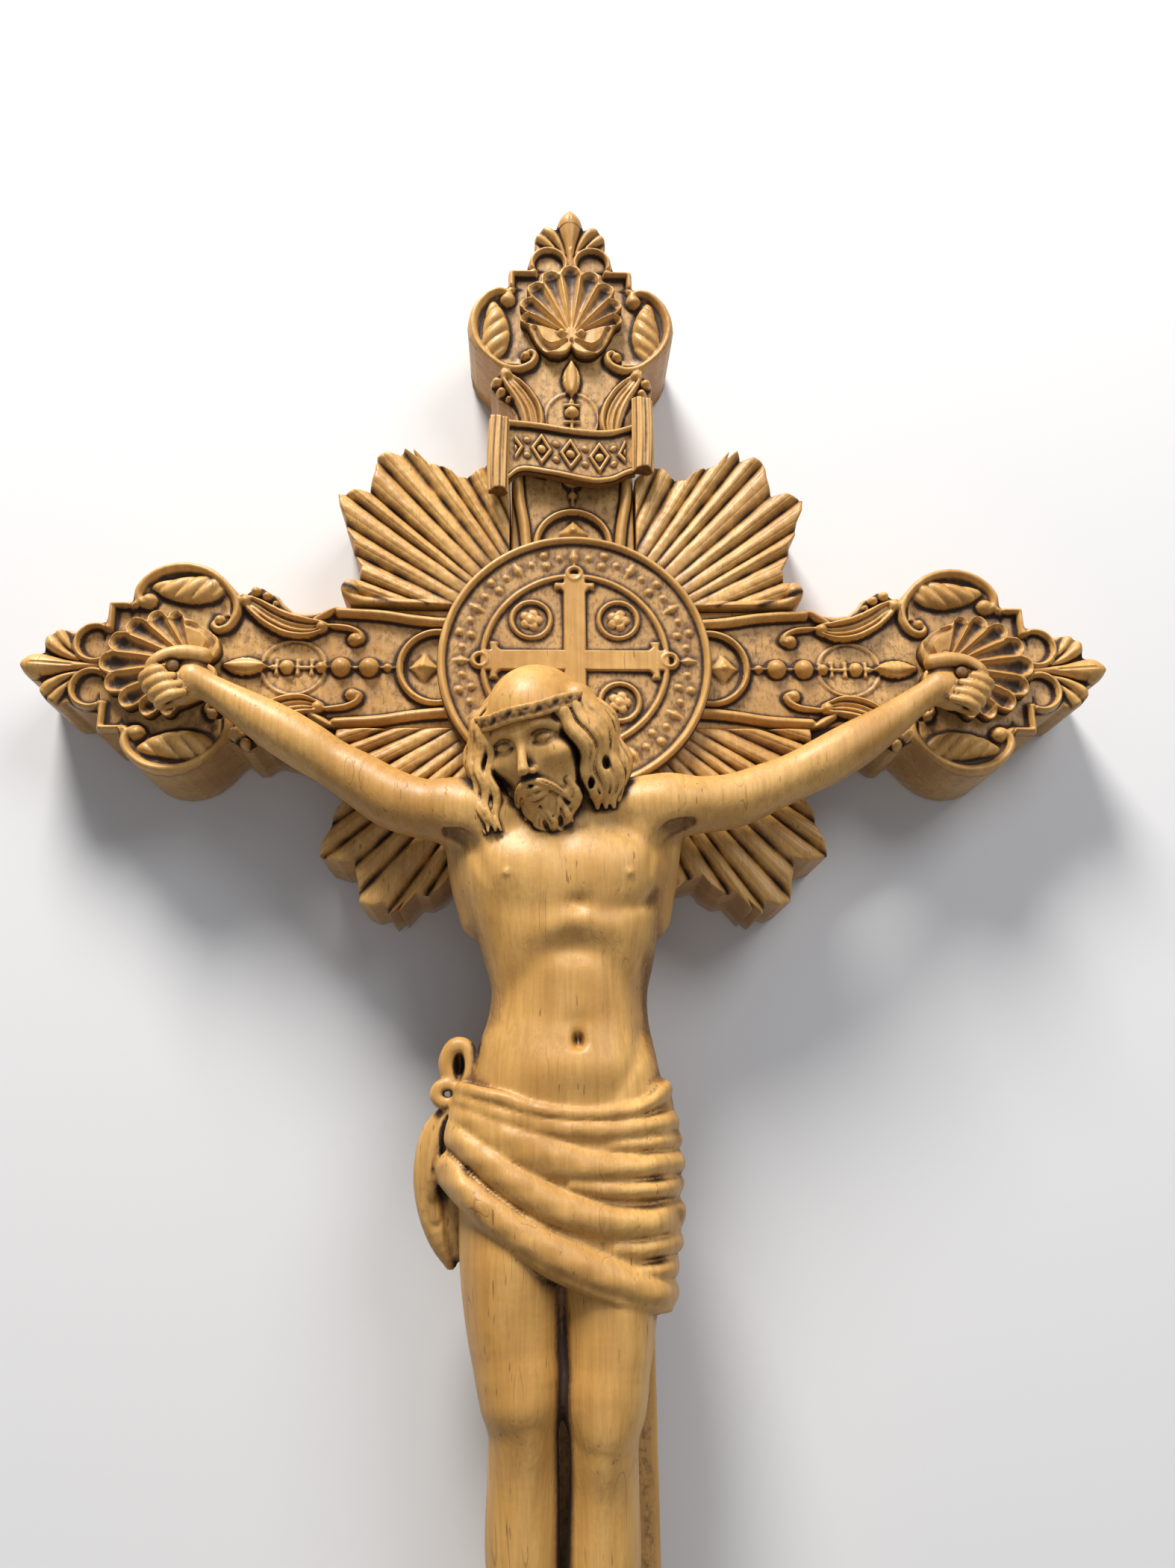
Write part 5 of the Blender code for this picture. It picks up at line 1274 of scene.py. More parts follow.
def boxed(x, y, z, table, middle, power):
    """At each height a rounded box from side to side and from the board to the front: the power
    mean of the two distances over their half-lengths, made a length again."""
    left, right, front = blended(table, y)
    half = (right - left) / 2
    depth = front - middle
    across = np.abs(x - (left + right) / 2) / half
    out = np.abs(z - middle) / depth
    mean = (across**power + out**power) ** (1 / power)
    return (mean - 1) * (0.6 * np.minimum(half, depth) + 0.4 * half) * 0.85


def trunk_form(x, y, z):
    """The trunk's box with the muscles on its front, which fade out towards the board."""
    return boxed(x, y, z, TRUNK, 20.6, 2.35) - muscles(x, y) * blend(19.0, 25.0, z)


# The loincloth's two sides and front at each height, and the folds across it: lines of
# (x, y, half-width, rise)
CLOTH = (
    (-104, -16.4, 10.4, 28.5), (-98, -17.6, 12, 28.9), (-92, -18.6, 13.3, 29.3),
    (-86, -19.4, 13.9, 29.5), (-80, -19.8, 14.2, 29.5), (-74, -19.4, 14.1, 29.3),
    (-68, -18.2, 13, 29.1), (-62, -16.6, 12, 28.8),
)
FOLDS = (
    ((-17, -68, 0.9, 0.9), (-12, -69.3, 0.9, 1), (-7.4, -70.9, 0.8, 1), (-0.5, -71.8, 0.75, 1),
     (5.7, -71.5, 0.75, 1), (9.5, -70.4, 0.75, 1.1), (12.6, -68.2, 0.8, 1.2)),
    ((-17.6, -69.6, 0.9, 0.7), (-12, -71.4, 1, 0.8), (-5.9, -73.2, 1, 1), (0.3, -73.9, 1, 1.05),
     (5.7, -73.9, 1, 1.05), (13.2, -72.8, 1, 1.1)),
    ((4, -75.9, 0.6, 0.5), (9, -75.7, 0.75, 0.8), (14.2, -75.2, 0.8, 0.9)),
    ((-18.4, -71.4, 1.2, 0.8), (-12.4, -74.4, 1.7, 1), (-5.9, -77, 1.9, 1.35),
     (-0.5, -78.6, 1.5, 1.4), (5.3, -78.9, 1.2, 1.4), (14.2, -78.4, 1.1, 1.35)),
    ((-1.5, -81, 0.6, 0.7), (4, -81.8, 0.9, 1.2), (9, -81.9, 0.9, 1.3), (14.4, -81.4, 0.9, 1.3)),
    ((-19.5, -73.2, 1.3, 1), (-14.7, -76.8, 1.5, 1.4), (-10.1, -80.4, 1.6, 1.6),
     (-4.3, -83.7, 1.6, 1.7), (1.8, -85.6, 1.5, 1.7), (7.2, -86.2, 1.4, 1.6),
     (14.2, -85.6, 1.3, 1.5)),
    ((4.6, -89.3, 0.7, 0.7), (9.4, -89.4, 0.95, 1.25), (13.8, -89, 0.95, 1.25)),
    ((7, -92.6, 0.7, 0.8), (12.8, -92.2, 1, 1.3)),
    ((-19.8, -78.6, 1.5, 1.5), (-14.7, -83.2, 1.6, 1.9), (-9, -87.2, 1.7, 2),
     (-2.8, -90.5, 1.8, 2.1), (3.3, -93, 1.7, 2), (9.1, -95, 1.5, 1.9), (13.2, -96, 1.2, 1.6)),
    ((-19.4, -80, 0.7, 0.9), (-10.4, -87.9, 0.8, 1.2), (-5.6, -91.2, 0.8, 1.2),
     (-0.5, -93.8, 0.8, 1.2), (5.6, -96, 0.8, 1.2), (12, -97.2, 0.8, 1.1)),
)


def cloth_form(x, y, z):
    """The wrapped cloth between its top hem and its slanting lower hem, with round folds meeting
    in sharp grooves."""
    body = boxed(x, y, z, CLOTH, 20.4, 2.3)
    flat_x, flat_y = front_places(x, y)
    folds = np.zeros(flat_x.shape)
    for line in FOLDS:
        gap, _, (wide, rise) = to_path(flat_x, flat_y, through(line, 4))
        folds = np.maximum(folds, rise * hump(gap / (1.6 * wide), 0.9))
    folds *= 1 - 0.62 * blend(10.0, 14.0, flat_x) - 0.4 * blend(-16.5, -19.5, flat_x)
    folds += 0.12 * noise_wave(flat_x, flat_y, 4, 2)
    top = np.interp(flat_x, (-20, -14, -8, -1, 5, 12), (-66.2, -67.8, -69.1, -70.0, -69.5, -66.6))
    foot = np.interp(
        flat_x, (-20, -15.9, -10.9, -5.9, -0.5, 5.7, 10.3, 14),
        (-81.4, -85.0, -89.0, -92.5, -95.0, -97.2, -98.2, -98.4),
    )
    over = np.maximum(flat_y - top, foot - flat_y)[:, :, None]
    return smooth_max(over, body - folds[:, :, None], 0.7)


# The arms' middle lines from inside the shoulder to the wrist: (x, y, z, radius)
ARM_LINES = {
    -1: ((-13, -28, 23.2, 5), (-18.5, -26.8, 23.4, 4.9), (-23.5, -26.3, 23, 4.6),
         (-28.5, -24.6, 22.6, 4.55), (-33.5, -21.4, 22.3, 4.15), (-38, -18.6, 22, 3.75),
         (-42, -16, 22, 3.9), (-47, -12.8, 21.8, 3.75), (-52.5, -9.3, 21.4, 2.95),
         (-57.2, -6.4, 21.2, 2.3), (-60.5, -4.6, 21.4, 2.2)),
    1: ((9, -26.6, 23.2, 4.8), (14.5, -25.8, 23.4, 4.7), (19.5, -25.6, 23, 4.4),
        (24.5, -24.8, 22.6, 4.25), (29.5, -22.8, 22.3, 3.95), (34.5, -20.6, 22, 3.7),
        (39, -18.4, 22, 3.9), (44.5, -15.2, 21.8, 3.75), (50, -11.6, 21.4, 3),
        (55.2, -7.8, 21.2, 2.35), (59, -5.4, 21.4, 2.25)),
}
# The middle of each palm as (distance from the cross's middle, y, z), and the hands' turn
HANDS = {-1: (62.6, -3.9, 22.4), 1: (61.6, -4.4, 22.4)}
HAND_TURN = math.radians(30)


def arm_forms(clay, side):
    """An arm as one limb with its swells, ending in a loosely closed hand seen from its palm: the
    thumb over the top, four curled fingers one under the other, and the nail's hollow."""
    clay.limb(ARM_LINES[side], 1.6, steps=5)
    x0, y0, z0 = HANDS[side]
    c, s = math.cos(HAND_TURN), math.sin(HAND_TURN)

    def spot(dx, dy, dz, *radius):
        return (side * (x0 + c * dx + s * dy), y0 + c * dy - s * dx, z0 + dz, *radius)

    clay.egg(spot(-0.6, -0.9, -1.6), (3.7, 3.3, 2.3), width=1.2)
    clay.egg(spot(1.2, -2.6, -1.4), (2.8, 1.9, 2.1), width=0.8)
    clay.limb([spot(-4.4, 1, -0.6, 1.5), spot(-2.2, 2.5, 0.2, 1.35), spot(0.4, 3.3, 0.9, 1.05),
               spot(2.5, 3, 1.2, 0.95), spot(3.6, 2.5, 1, 0.75)], 0.45)
    for drop, shift, r in ((1.5, 0.5, 0.95), (-0.1, 0.55, 1), (-1.75, 0.45, 0.95),
                           (-3.3, 0.25, 0.85)):
        clay.limb([spot(2.6 + shift, drop + 0.1, -1.6, r), spot(4.5 + shift, drop, -0.5, r),
                   spot(4.2 + shift, drop, 1.1, r), spot(2.3 + shift, drop - 0.2, 1.6, r * 0.95),
                   spot(0.5 + shift, drop - 0.35, 0.8, r * 0.8)], 0.22)
    clay.egg(spot(0.3, 1.3, 1), (1.25, 1.15, 1.7), width=0.3, away=True)


# Round forms of (x, y, z, radius) and how softly each joins: the shoulders' slope, their caps and
# the collar bones, and then the broad muscles under the arms
SHOULDERS = (
    ((-3, -28.6, 22, 4.6), (-10, -27.2, 23, 4.6), (-17.5, -26.9, 23.2, 5), 2.4),
    ((-3, -28.6, 22, 4.6), (6, -26.6, 23, 4.4), (13.5, -25.8, 23.2, 4.7), 2.4),
    ((-14.2, -31, 25, 2.4), (-17, -28.6, 25, 3.2), (-20.6, -26.6, 24.2, 3.6), 2),
    ((10.4, -30, 25, 2.4), (13, -27.8, 25, 3), (16.8, -26.2, 24.2, 3.4), 2),
    ((-10.2, -29.2, 25.2, 0.9), (-13.2, -27.4, 26.6, 0.8), (-16.4, -26.6, 27.4, 0.6), 2.2),
    ((3.6, -28.6, 25, 0.9), (8, -26.4, 26.6, 0.8), (12.4, -25.8, 27, 0.6), 2.2),
)
SIDES = (
    ((-17.3, -30.6, 21, 2.5), (-16.9, -36.4, 20.8, 2.6), (-15.6, -43, 20, 2.2), 2),
    ((13.4, -29.4, 21, 2.5), (12.8, -35.6, 20.8, 2.6), (11.8, -43, 20, 2.2), 2),
)


def flesh_forms(clay):
    """The trunk, the shoulders and the arms, with the hollows under them."""
    clay.press((-22, -87, 10), (18, -22, 34), trunk_form, 1)
    for *points, width in SHOULDERS:
        clay.limb(points, width)
    arm_forms(clay, -1)
    arm_forms(clay, 1)
    for *points, width in SIDES:
        clay.limb(points, width)
    clay.limb([(-19.6, -30.9, 26.6, 0.6), (-17.4, -31.5, 26.8, 0.95), (-15.6, -34.2, 27.6, 0.9),
               (-14.5, -37.8, 28.4, 0.65), (-13.8, -40.4, 29.4, 0.3)], 1.2, away=True)
    clay.limb([(16.8, -29.4, 26.4, 0.7), (14, -30.2, 26.4, 1.2), (11.9, -33.8, 27.4, 1),
               (11, -38, 28.2, 0.7), (10.5, -41, 29.2, 0.3)], 1.1, away=True)


def body_forms(clay):
    """Below the arms: the legs and feet, and the loincloth with its knot and its tail."""
    for hip, knee, out in ((-9.4, -8.6, 0), (3.4, 2.8, 0.2)):
        clay.limb([(hip, -78, 20.6, 8), (hip - 0.2, -90, 21.6, 7.6), (hip, -99, 22.2, 6.7),
                   (knee, -108 - 4 * out, 23.4, 5.4)], 1.4, steps=8)
    clay.limb([(-8.6, -106, 23.4, 5.3), (-8.2, -111.5, 23.2, 4.7), (-8.2, -118, 21.6, 4.8),
               (-8.3, -127.5, 20.8, 4.9), (-7.4, -137, 20.2, 4.2), (-6, -145, 20, 3.3),
               (-5.2, -151, 20.2, 3)], 1.5, steps=6)
    clay.limb([(2.8, -108, 23.4, 5.3), (2.6, -114, 23.2, 4.6), (2.6, -120, 21.4, 4.7),
               (2.4, -129.5, 20.6, 4.9), (1.8, -139, 20, 4.2), (0.6, -146.5, 20.2, 3.3),
               (-0.2, -152.5, 20.6, 3)], 1.5, steps=6)
    clay.egg((-8.2, -108.4, 26.6), (2.7, 3.1, 2.2), width=1.6)
    clay.egg((2.6, -112, 26.4), (2.6, 3, 2.2), width=1.6)
    clay.limb([(-7.6, -112.4, 26.4, 1.1), (-7.4, -120, 24.6, 1.2), (-6.6, -134, 23.2, 1),
               (-5.4, -146, 22.4, 0.9)], 1.8)
    clay.limb([(2, -116, 26.2, 1.1), (1.6, -123, 24.6, 1.2), (1, -136, 23.2, 1),
               (0, -147, 22.6, 0.9)], 1.8)
    clay.limb([(-11.4, -92, 26, 2.2), (-11.6, -99, 25.8, 2), (-10.6, -104.6, 25.6, 1.2)], 2.4)
    clay.limb([(5.4, -98, 26, 2.2), (5.6, -103, 25.8, 2), (4.8, -107.6, 25.6, 1.2)], 2.4)
    feet_forms(clay)
    clay.press((-23, -104, 10), (18, -62, 34), cloth_form, 0.3)
    clay.egg((-16.8, -66.2, 19.4), (2.6, 4.6, 3), width=0.8)
    clay.limb([(-16.4, -67.6, 22.2, 1.25), (-15.9, -64.8, 22.4, 1.15), (-16.6, -62.2, 22.2, 1.25),
               (-18.3, -62, 22, 1.35), (-19.4, -64.2, 21.8, 1.3), (-18.8, -66.8, 21.8, 1.2)], 0.3)
    clay.egg((-17.6, -64.7, 23), (0.8, 1.75, 2.6), width=0.3, away=True)
    turns = np.radians(np.arange(0, 390, 45))
    clay.limb(arc(-19.3, -68.6, 1.5, 1.3, turns, 22.4, 1), 0.25)
    clay.egg((-19, -68.6, 23), (0.6, 0.45, 1.8), width=0.2, away=True)
    clay.limb([(-18.4, -70.6, 20.4, 1.5), (-21, -74, 19.8, 2), (-22, -79, 19.3, 2.1),
               (-21.4, -84, 18.8, 2.1), (-20, -88.4, 18.4, 1.8), (-18.6, -91.8, 18, 0.9)], 0.6)
    clay.limb([(-17, -76, 19, 2.2), (-17.6, -84, 18.4, 2.2), (-17.2, -90, 18, 1.5)], 0.6)
    clay.limb([(-18.6, -71, 22, 1), (-20.2, -75, 21.9, 1.25), (-20.9, -79, 21.4, 1.25),
               (-21.3, -82.2, 20.8, 0.8), (-21.6, -84.2, 20.3, 0.25)], 0.15)
    clay.limb([(-19.2, -72, 23.2, 0.5), (-19.4, -78, 22.6, 0.6), (-19.4, -84, 21, 0.6),
               (-18.8, -90, 20, 0.3)], 0.3, away=True)
    clay.limb([(-20.6, -72.4, 22.6, 0.3), (-22.3, -76.5, 22, 0.45), (-22.6, -82, 21.3, 0.45),
               (-21.4, -86.4, 20.8, 0.5), (-19.8, -86.2, 20.9, 0.6),
               (-19.4, -83, 21.3, 0.5)], 0.15, away=True)
    clay.limb([(-20, -73, 23.3, 0.2), (-20.9, -77.5, 22.9, 0.25),
               (-21.2, -81.5, 22.1, 0.2)], 0.3, away=True)


def feet_forms(clay):
    """Two feet, the right one laid over the left, with their heels, insteps and toes."""
    for ankle, ball, toe_x, lean in (
        ((-0.4, -151.5, 20.2), (-0.2, -161, 19.4), 0.2, 0.10),
        ((-4.8, -150.5, 21.2), (-4.2, -160, 20.8), -4, -0.10),
    ):
        clay.limb([(*ankle, 3), ((ankle[0] + ball[0]) / 2, -156, ankle[2] + 0.6, 2.9),
                   (*ball, 2.3)], 1.2)
        clay.egg((ankle[0], -151.5, 18.6), (2.4, 2.6, 2.4), width=1)
        clay.egg((ball[0], -160.6, ball[2] - 0.4), (3.2, 2.2, 1.7), width=1)
        for toe in range(5):
            inward = toe if lean > 0 else 4 - toe
            x = toe_x + (toe - 2) * 1.25
            r = (0.62, 0.66, 0.7, 0.78, 0.98)[inward]
            y = -162.6 - 0.35 * inward
            clay.limb([(x, -160.8, ball[2], r), (x, y, ball[2] + 0.1, r),
                       (x, y - 0.9, ball[2] - 0.5, r * 0.9)], 0.25)


# The head's tilt, and where its middle is on the bench
HEAD_TURN = (
    Matrix.Rotation(math.radians(8), 3, "Z")
    @ Matrix.Rotation(math.radians(-24), 3, "Y")
    @ Matrix.Rotation(math.radians(17), 3, "X")
)
HEAD_AT = Vector((-6.2, -16.6, 27))


def head_forms(clay):
    """A bearded head on the usual proportions: the eyes half-way down, and brow, foot of the nose
    and chin at even thirds below the hairline."""

    def spot(x, y, z, *radius):
        return (*(HEAD_AT + HEAD_TURN @ Vector((x, y, z))), *radius)

    def lump(x, y, z, radii, width=0.8, away=False):
        clay.egg(spot(x, y, z), radii, HEAD_TURN, width, away)

    def line(points, width=0.4, away=False):
        clay.limb([spot(*p) for p in points], width, away)

    clay.limb([(-3, -36, 21.6, 5), (-4.6, -24, 23.6, 5.4)], 1)
    lump(0, 3.2, -0.8, (7.3, 8.2, 8), 1)
    lump(0, 2.4, -3.4, (8.3, 9, 6.4), 2.2)
    lump(0, -2.6, 1.4, (6, 7.4, 6), 1.6)
    lump(0, -8, 2.4, (4.2, 4.4, 4.4), 1.6)
    for side in (-1, 1):
        lump(4.3 * side, -2.6, 4.4, (2.2, 1.8, 2.2), 1.8)
        line([(0.9 * side, 1.5, 6.9, 0.75), (3 * side, 2.1, 6.6, 0.8),
              (5.3 * side, 1.2, 4.9, 0.7)], 1.2)
        lump(3.05 * side, 0.1, 7.6, (1.9, 1.15, 1.5), 1, away=True)
        lump(3.05 * side, -0.05, 5.5, (1.55, 1.15, 1.25), 0.35)
        line([(1.7 * side, -0.35, 6.4, 0.13), (3.1 * side, -0.75, 6.85, 0.15),
              (4.6 * side, -0.3, 5.9, 0.12)], 0.2, away=True)
        line([(1.8 * side, 0.85, 6.5, 0.1), (3.1 * side, 1.05, 6.75, 0.12),
              (4.6 * side, 0.6, 5.9, 0.1)], 0.25, away=True)
        lump(0.85 * side, -4.35, 7.6, (0.6, 0.6, 0.8), 0.7)
        lump(0.55 * side, -4.95, 8.2, (0.3, 0.22, 0.5), 0.15, away=True)
        lip = ((0.3, -5.8, 7.6, 0.55), (1.6, -6.3, 7.3, 0.66), (2.9, -7.4, 6.3, 0.6),
               (3.7, -8.7, 5.3, 0.45), (4.3, -10, 4.4, 0.25))
        line([(x * side, *rest) for x, *rest in lip], 0.3)
        for up in (-0.28, 0.22):
            line([(x * side, y + up, z + r * 0.95, 0.09) for x, y, z, r in lip[:4]], 0.25, True)
        line([(5.7 * side, -2.6, 3, 0.5), (5.3 * side, -5.4, 3.4, 0.9),
              (4.4 * side, -8.2, 3.9, 1.1)], 1)
    line([(0, 2.2, 6.6, 0.75), (0, -0.4, 7.4, 0.62), (0, -2.6, 8.5, 0.7),
          (0, -3.9, 9.1, 0.82)], 0.9)
    line([(-2, -7.35, 6.6, 0.35), (-0.8, -7, 7.6, 0.5), (0, -7.1, 7.7, 0.48), (0.8, -7, 7.6, 0.5),
          (2, -7.35, 6.6, 0.35)], 0.2)
    line([(-1.8, -7.9, 6.6, 0.35), (0, -8.15, 7.4, 0.62), (1.8, -7.9, 6.6, 0.35)], 0.25)
    lump(0, -9.8, 2.4, (4, 4.1, 3.4), 1)
    for k in range(8):
        a = (k - 3.5) / 3.5
        bend = 0.7 if k % 2 else -0.6
        high = 1.3 * (1 - abs(a))
        line([(4.7 * a, -6.9 - high, 4.4 + 0.9 * high, 0.7),
              (4.4 * a + bend, -9.6 - 0.4 * high, 5.3 - 1.7 * a * a, 0.95),
              (3.5 * a - bend, -11.9 - 0.3 * high, 5.3 - 1.9 * a * a, 0.9),
              (2.7 * a + 0.5 * bend, -13.2 - 0.9 * high, 4.4 - 1.7 * a * a, 0.45)], 0.08)
        line([(4.5 * a + bend, -8.6, 6.1 - 1.4 * a * a, 0.1),
              (4.2 * a + 0.5 * bend, -10.6, 6.3 - 1.7 * a * a, 0.13),
              (3.3 * a - bend, -12.6, 5.9 - 1.9 * a * a, 0.1)], 0.25, away=True)
    hair_forms(clay)


# The two falls of hair: the line beside the face, the line at the back, how many strands lie
# between them, the side they bulge to and how thick they are
FALLS = (
    (((-11.9, -12.2, 31), (-13.1, -16, 30.2), (-13.4, -20, 29.4), (-13, -24, 28.8),
      (-12.3, -28, 28.4), (-11.9, -31, 28.2)),
     ((-14.7, -11.2, 25.6), (-16.3, -15, 24.6), (-16.7, -20, 24.2), (-16.1, -25, 24.6),
      (-14.8, -29, 25.6), (-13.2, -31.6, 26.8)), 5, -1, 0.8),
    (((-4.6, -13, 34.3), (-1.6, -16, 34), (0.5, -19.2, 32.8), (1.4, -22.4, 31),
      (2, -25.2, 29.2), (3, -27.4, 27.8)),
     ((1.6, -9.4, 27.6), (4.4, -12.4, 26.6), (6.3, -17, 25.6), (7, -21, 25.4),
      (6.9, -24.6, 25.4), (6.2, -27.2, 25.4)), 5, 1, 1.3),
)


def hair_forms(clay):
    """A recessed mass under each fall of hair, and over it wavy strands side by side, each set
    between the fall's two lines."""
    clay.limb([(-12.8, -11.6, 27.6, 1.9), (-14.6, -16, 27, 2.2), (-14.8, -21, 26.6, 2.1),
               (-13.9, -26, 26.6, 1.7), (-12.7, -30, 27, 1.1)], 0.8)
    clay.limb([(-0.2, -11, 30, 2.6), (2, -15.5, 30, 3.2), (3.4, -20, 28.4, 2.9),
               (4.2, -24, 27, 2.1), (4.6, -26.4, 26.2, 1.4)], 0.8)
    for inner, outer, count, side, thick in FALLS:
        for k in range(count):
            part = k / (count - 1)
            path = through(np.array(inner) * (1 - part) + np.array(outer) * part, 4)
            long = np.cumsum(np.linalg.norm(np.diff(path, axis=0, prepend=path[:1]), axis=1))
            wave = math.tau * long / (5 + 1.6 * thick) + 0.9 * k
            bulge = 1.3 * math.sin(math.pi * part)
            path[:, 0] += side * bulge * 0.7 + 0.42 * np.sin(wave)
            path[:, 2] += bulge + 0.2 * np.cos(wave)
            ends = np.minimum(0.45 + long / 3, 0.3 + (long[-1] - long) / 4)
            radius = thick * (0.94 + 0.06 * np.sin(wave + 1)) * np.minimum(ends, 1)
            clay.limb(np.column_stack([path, radius]), 0.2, steps=1)
            path[:, 2] += 1.05 * radius
            path[:, 0] += 0.3 * radius * side
            clay.limb(np.column_stack([path[2:-3], 0.16 + 0 * radius[2:-3]]), 0.3, True, 1)
    clay.egg((3.9, -21.4, 31.8), (0.5, 1, 2), width=0.5, away=True)
    clay.egg((1.7, -24.4, 30.6), (0.4, 0.75, 1.8), width=0.5, away=True)


def figure_piece(name, clay, clays, node):
    """A part of the figure cut off flat at its back, skinned, and given dark wax with painted shade
    where the space in front of the surface is closed in by its own forms, the other parts or the
    board."""
    x, y, z = np.meshgrid(*clay.axes, indexing="ij", sparse=True)
    clay.value = np.maximum(clay.value, (lies_behind(x, y) - z).astype(np.float32))
    for axis in range(3):
        moved = np.moveaxis(clay.value, axis, 0)
        for end in (0, -1):
            moved[end] = np.maximum(moved[end], 0.01)
    points, quads = clay.skin()
    out = clay.slope(points)
    # Painted shade with the wax: an occlusion estimate, darker where little free space lies in
    # front and near the board
    wax = np.zeros(len(points))
    for reach, weight in ((0.45, 0.5), (1.0, 0.6), (2.4, 0.45)):
        ahead = points + out * reach
        free = np.minimum.reduce([other.sample(ahead) for other in clays])
        free = np.minimum(free, ahead[:, 2] - lies_behind(ahead[:, 0], ahead[:, 1]) + 0.6)
        wax += weight * np.clip(0.8 - free / reach, 0, 1)
    placed = on_wall(points[:, 0], points[:, 1], points[:, 2])
    piece = mesh_piece(name, placed, quads, FIGURE_WOOD, wax=np.clip(wax * 1.2, 0, 1), ground=0.0)
    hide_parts(node)


def make_figure():
    """The body, the head and the two arms. An arm runs on a little way inside the shoulder, a
    hair's breadth thinner, so that the joint shows as a fine line."""
    coarse = 1.0
    right_cut, left_cut, chest_foot = -20.2, 16.2, -50.0
    body = Clay((-26, -169, 13.5), (19.5, -20, 34.2), 0.39 * coarse)
    right = Clay((-71, -36, 15.5), (-18.9, 4.5, 30.5), 0.28 * coarse)
    left = Clay((15.1, -36, 15.5), (70.5, 4.5, 30.5), 0.28 * coarse)
    head = Clay((-18, -37, 18.5), (10, -3.5, 37.5), 0.21 * coarse)
    for clay in (body, right, left):
        flesh_forms(clay)
    body_forms(body)
    head_forms(head)
    x, y, _ = np.meshgrid(*body.axes, indexing="ij", sparse=True)
    cut = np.where(y > chest_foot, np.maximum(right_cut - x, x - left_cut), -9.0)
    body.value = np.maximum(body.value, cut.astype(np.float32))
    right.value += 0.05 * blend(right_cut - 0.2, right_cut, right.axes[0])[:, None, None]
    left.value += 0.05 * blend(left_cut + 0.2, left_cut, left.axes[0])[:, None, None]
    clays = (body, right, left, head)
    for name, clay, node in (
        ("corpus_body", body, "corpus"), ("corpus_head", head, "corpus"),
        ("right_arm", right, "corpus_right_arm"), ("left_arm", left, "corpus_left_arm"),
    ):
        figure_piece(name, clay, clays, node)


def make_crown():
    """A narrow band of stems round the head: two raised rims with knotty pits between them."""
    place = Matrix.Translation(HEAD_AT) @ HEAD_TURN.to_4x4() @ Matrix.Translation((0, 4.6, -1.0))
    place = np.array(place @ Matrix.Rotation(math.radians(-88), 4, "X"))
    rows, ring = 432, 36
    u = full_turn(rows)[:, None]
    v = full_turn(ring)[None, :]
    lean = np.mod(v + math.pi, math.tau) - math.pi
    knots = np.abs(np.cos(8 * u + 1.1 * lean)) ** 1.5 * np.cos(23 * u - 2 * lean)
    rims = np.exp(-(((np.abs(lean) - 0.95) / 0.3) ** 2))
    between = np.exp(-((lean / 0.75) ** 4))
    r = 0.92 + 0.2 * rims - (0.16 + 0.24 * np.maximum(knots, -0.2)) * between * (1 - rims)
    r = r + 0.03 * np.sin(41 * u + 3 * v)
    out, half_height = 0.85 * r * np.cos(v), 1.22
    x, y = (8.6 + out) * np.cos(u), (8.7 + out) * np.sin(u)
    z = half_height * r * np.sin(v) + 0.1 * np.sin(7 * u)
    spots = np.stack([x, y, z, np.ones(x.shape)], axis=-1) @ place.T
    x, y, z = spots[..., 0], spots[..., 1], spots[..., 2]
    z = np.maximum(z, lies_behind(x, y) + 0.02 * v)
    quads = tube_faces(rows + 1, ring) % (rows * ring)
    # Dark wax with painted shade in the pits between the rims
    wax = 0.75 * np.clip(2.9 - r * 3.1, 0, 1)
    piece = mesh_piece("crown_of_stems", on_wall(x, y, z), quads, FIGURE_WOOD, wax=wax, ground=0.0)
    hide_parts("crown_of_thorns")


# Nails, dowels and pins


def make_pin(node, profile):
    """A turned piece along its node's longest side, from (radius, distance from the front end),
    where a distance below zero counts from the other end."""
    low, high = node_size(node) + np.array((0, HANGER_HEIGHT, 0))
    size = high - low
    axis = int(np.argmax(size))
    middle = (low + high) / 2
    turns = full_turn(28)
    radius, drop = np.array(profile).T[:, :, None]
    drop = np.where(drop < 0, size[axis] + drop, drop)
    hewn = radius * (1 + 0.02 * np.cos(5 * turns + len(node)))
    second, third = (axis + 1) % 3, (axis + 2) % 3
    spots = {
        axis: high[axis] - drop + 0 * turns,
        second: middle[second] + hewn * np.cos(turns),
        third: middle[third] + hewn * np.sin(turns),
    }
    points = on_wall(spots[0], spots[1], spots[2])
    piece = turned_piece(node + "_turned", points, PIN_WOOD, wax=0.35, ground=0.0)
    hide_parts(node)


def make_pins():
    """Three nails with round heads, and the dowels and pins, each as thick as its own node."""
    nail = ((0, 0.0), (0.4, 0.03), (0.75, 0.14), (0.98, 0.38), (1.06, 0.62), (1.0, 0.82),
            (0.58, 0.9), (0.58, -1.3), (0.3, -0.5), (0, -0.02))
    for node in ("nail_left_hand", "nail_right_hand", "nail_feet"):
        make_pin(node, nail)
    for node in ("dowel_chest", "dowel_hip", "dowel_left_shoulder", "dowel_right_shoulder",
                 "titulus_pin_left", "titulus_pin_right"):
        low, high = node_size(node)
        r = np.sort(high - low)[0] / 2 - 0.02
        make_pin(node, ((0, 0.02), (r - 0.2, 0.02), (r, 0.25), (r, -0.25),
                                      (r - 0.2, -0.02), (0, -0.02)))


# The stage, the lamps and the camera


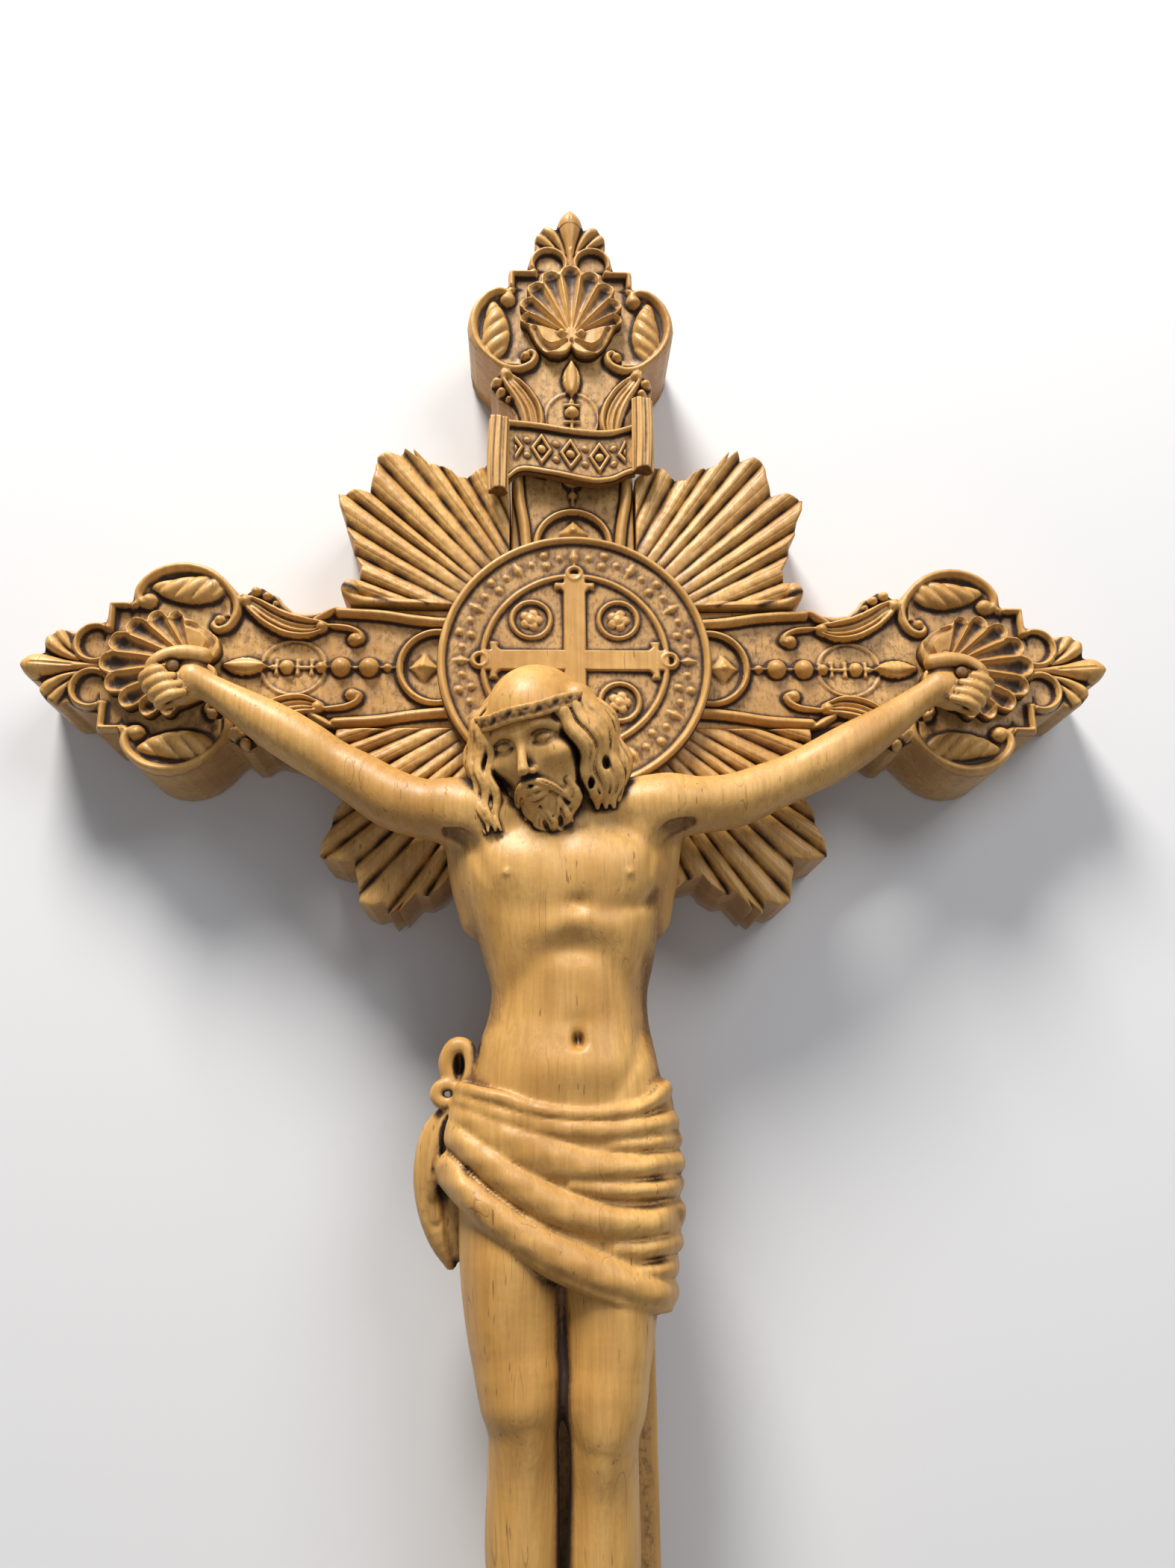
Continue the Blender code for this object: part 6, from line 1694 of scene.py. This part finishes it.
def make_stage():
    """A plain pale wall behind the cross, which is only seen from its front. Light that leaves the
    back of the cross passes through it, so that the back is lit too."""
    half, gap, middle = 1.6, 0.0004, -0.1
    size = [(-half, half), (half, half), (half, -half), (-half, -half)]
    mesh = bpy.data.meshes.new("pale_wall")
    mesh.from_pydata([(x, gap, z + middle) for x, z in size], [], [(0, 3, 2, 1)])
    finish = Finish("pale_wall", 0.9)
    finish.wear({"Base Color": (0.70, 0.70, 0.71, 1)})
    behind = finish.node("ShaderNodeNewGeometry", {}, {}, "Backfacing")
    seen = finish.node("ShaderNodeLightPath", {}, {}, "Is Camera Ray")
    travelled = finish.node("ShaderNodeLightPath", {}, {}, "Ray Length")
    away = behind.at_least((1 - seen) * travelled.step(0.005, 0.004))
    clear = finish.node("ShaderNodeBsdfTransparent", {}, {}, "BSDF")
    solid = Value(finish, finish.shader.outputs[0])
    shown = finish.node("ShaderNodeMixShader", {}, {0: away, 1: solid, 2: clear})
    finish.feed(finish.tree.nodes["Material Output"].inputs[0], shown)
    mesh.materials.append(finish.material)
    wall = new_object("pale_wall", mesh)


def area_lamp(name, place, target, size, power, colour=(1, 1, 1)):
    """A round lamp in watts that faces its target."""
    data = bpy.data.lights.new(name, "AREA")
    data.shape = "DISK"
    data.size = size
    data.energy = power
    data.color = colour
    lamp = new_object(name, data)
    lamp.location = place
    lamp.rotation_euler = (Vector(target) - Vector(place)).to_track_quat("-Z", "Y").to_euler()


def light_scene():
    """Window light from the upper left, the sky from the right, and a little from the room."""
    middle = (0, -0.01, -0.08)
    area_lamp("window", (-0.2, -0.42, 0.66), middle, 0.3, 12.0, (1, 0.97, 0.92))
    area_lamp("sky", (0.45, -0.7, 0.4), middle, 0.5, 3.4, (0.97, 0.98, 1))
    area_lamp("room", (0.0, -0.9, -0.5), middle, 1.0, 1.0)
    world = bpy.data.worlds.new("room")
    world.use_nodes = True
    colour, strength = world.node_tree.nodes["Background"].inputs[:2]
    colour.default_value = (0.9, 0.93, 1.0, 1)
    strength.default_value = 0.2
    bpy.context.scene.world = world
    bpy.context.scene.view_settings.view_transform = "Standard"


def place_camera():
    """The photograph's own place: close in front of the knees, looking up the cross."""
    data = bpy.data.cameras.new("camera")
    data.lens = 27.53
    data.sensor_width = 36.0
    data.clip_start = 0.01
    camera = new_object("camera", data)
    right = Vector((0.99889077, -0.0452886, -0.01289084))
    up = Vector((-0.00042364, -0.28239611, 0.95929779))
    back = -Vector((0.04708557, 0.95822825, 0.28210205))
    turn = Matrix((right, up, back)).transposed().to_4x4()
    camera.matrix_world = Matrix.Translation((-0.007209, -0.201218, -0.136753)) @ turn
    bpy.context.scene.camera = camera


def main():
    make_boards()
    for up, high in ((1, "top"), (-1, "bottom")):
        for side, hand in ((-1, "left"), (1, "right")):
            make_rays("rays_" + high + "_" + hand, side, up)
    make_medal()
    for arm in ARMS:
        make_shell(arm)
    make_banner()
    make_roll("titulus_left_roll", (-12.9, 30.9), (-12.7, 45.0), 1.65, -0.15, 7)
    make_roll("titulus_right_roll", (12.0, 35.2), (12.2, 49.0), 1.7, 0.1, 6)
    make_figure()
    make_crown()
    make_pins()
    make_stage()
    light_scene()
    place_camera()


main()
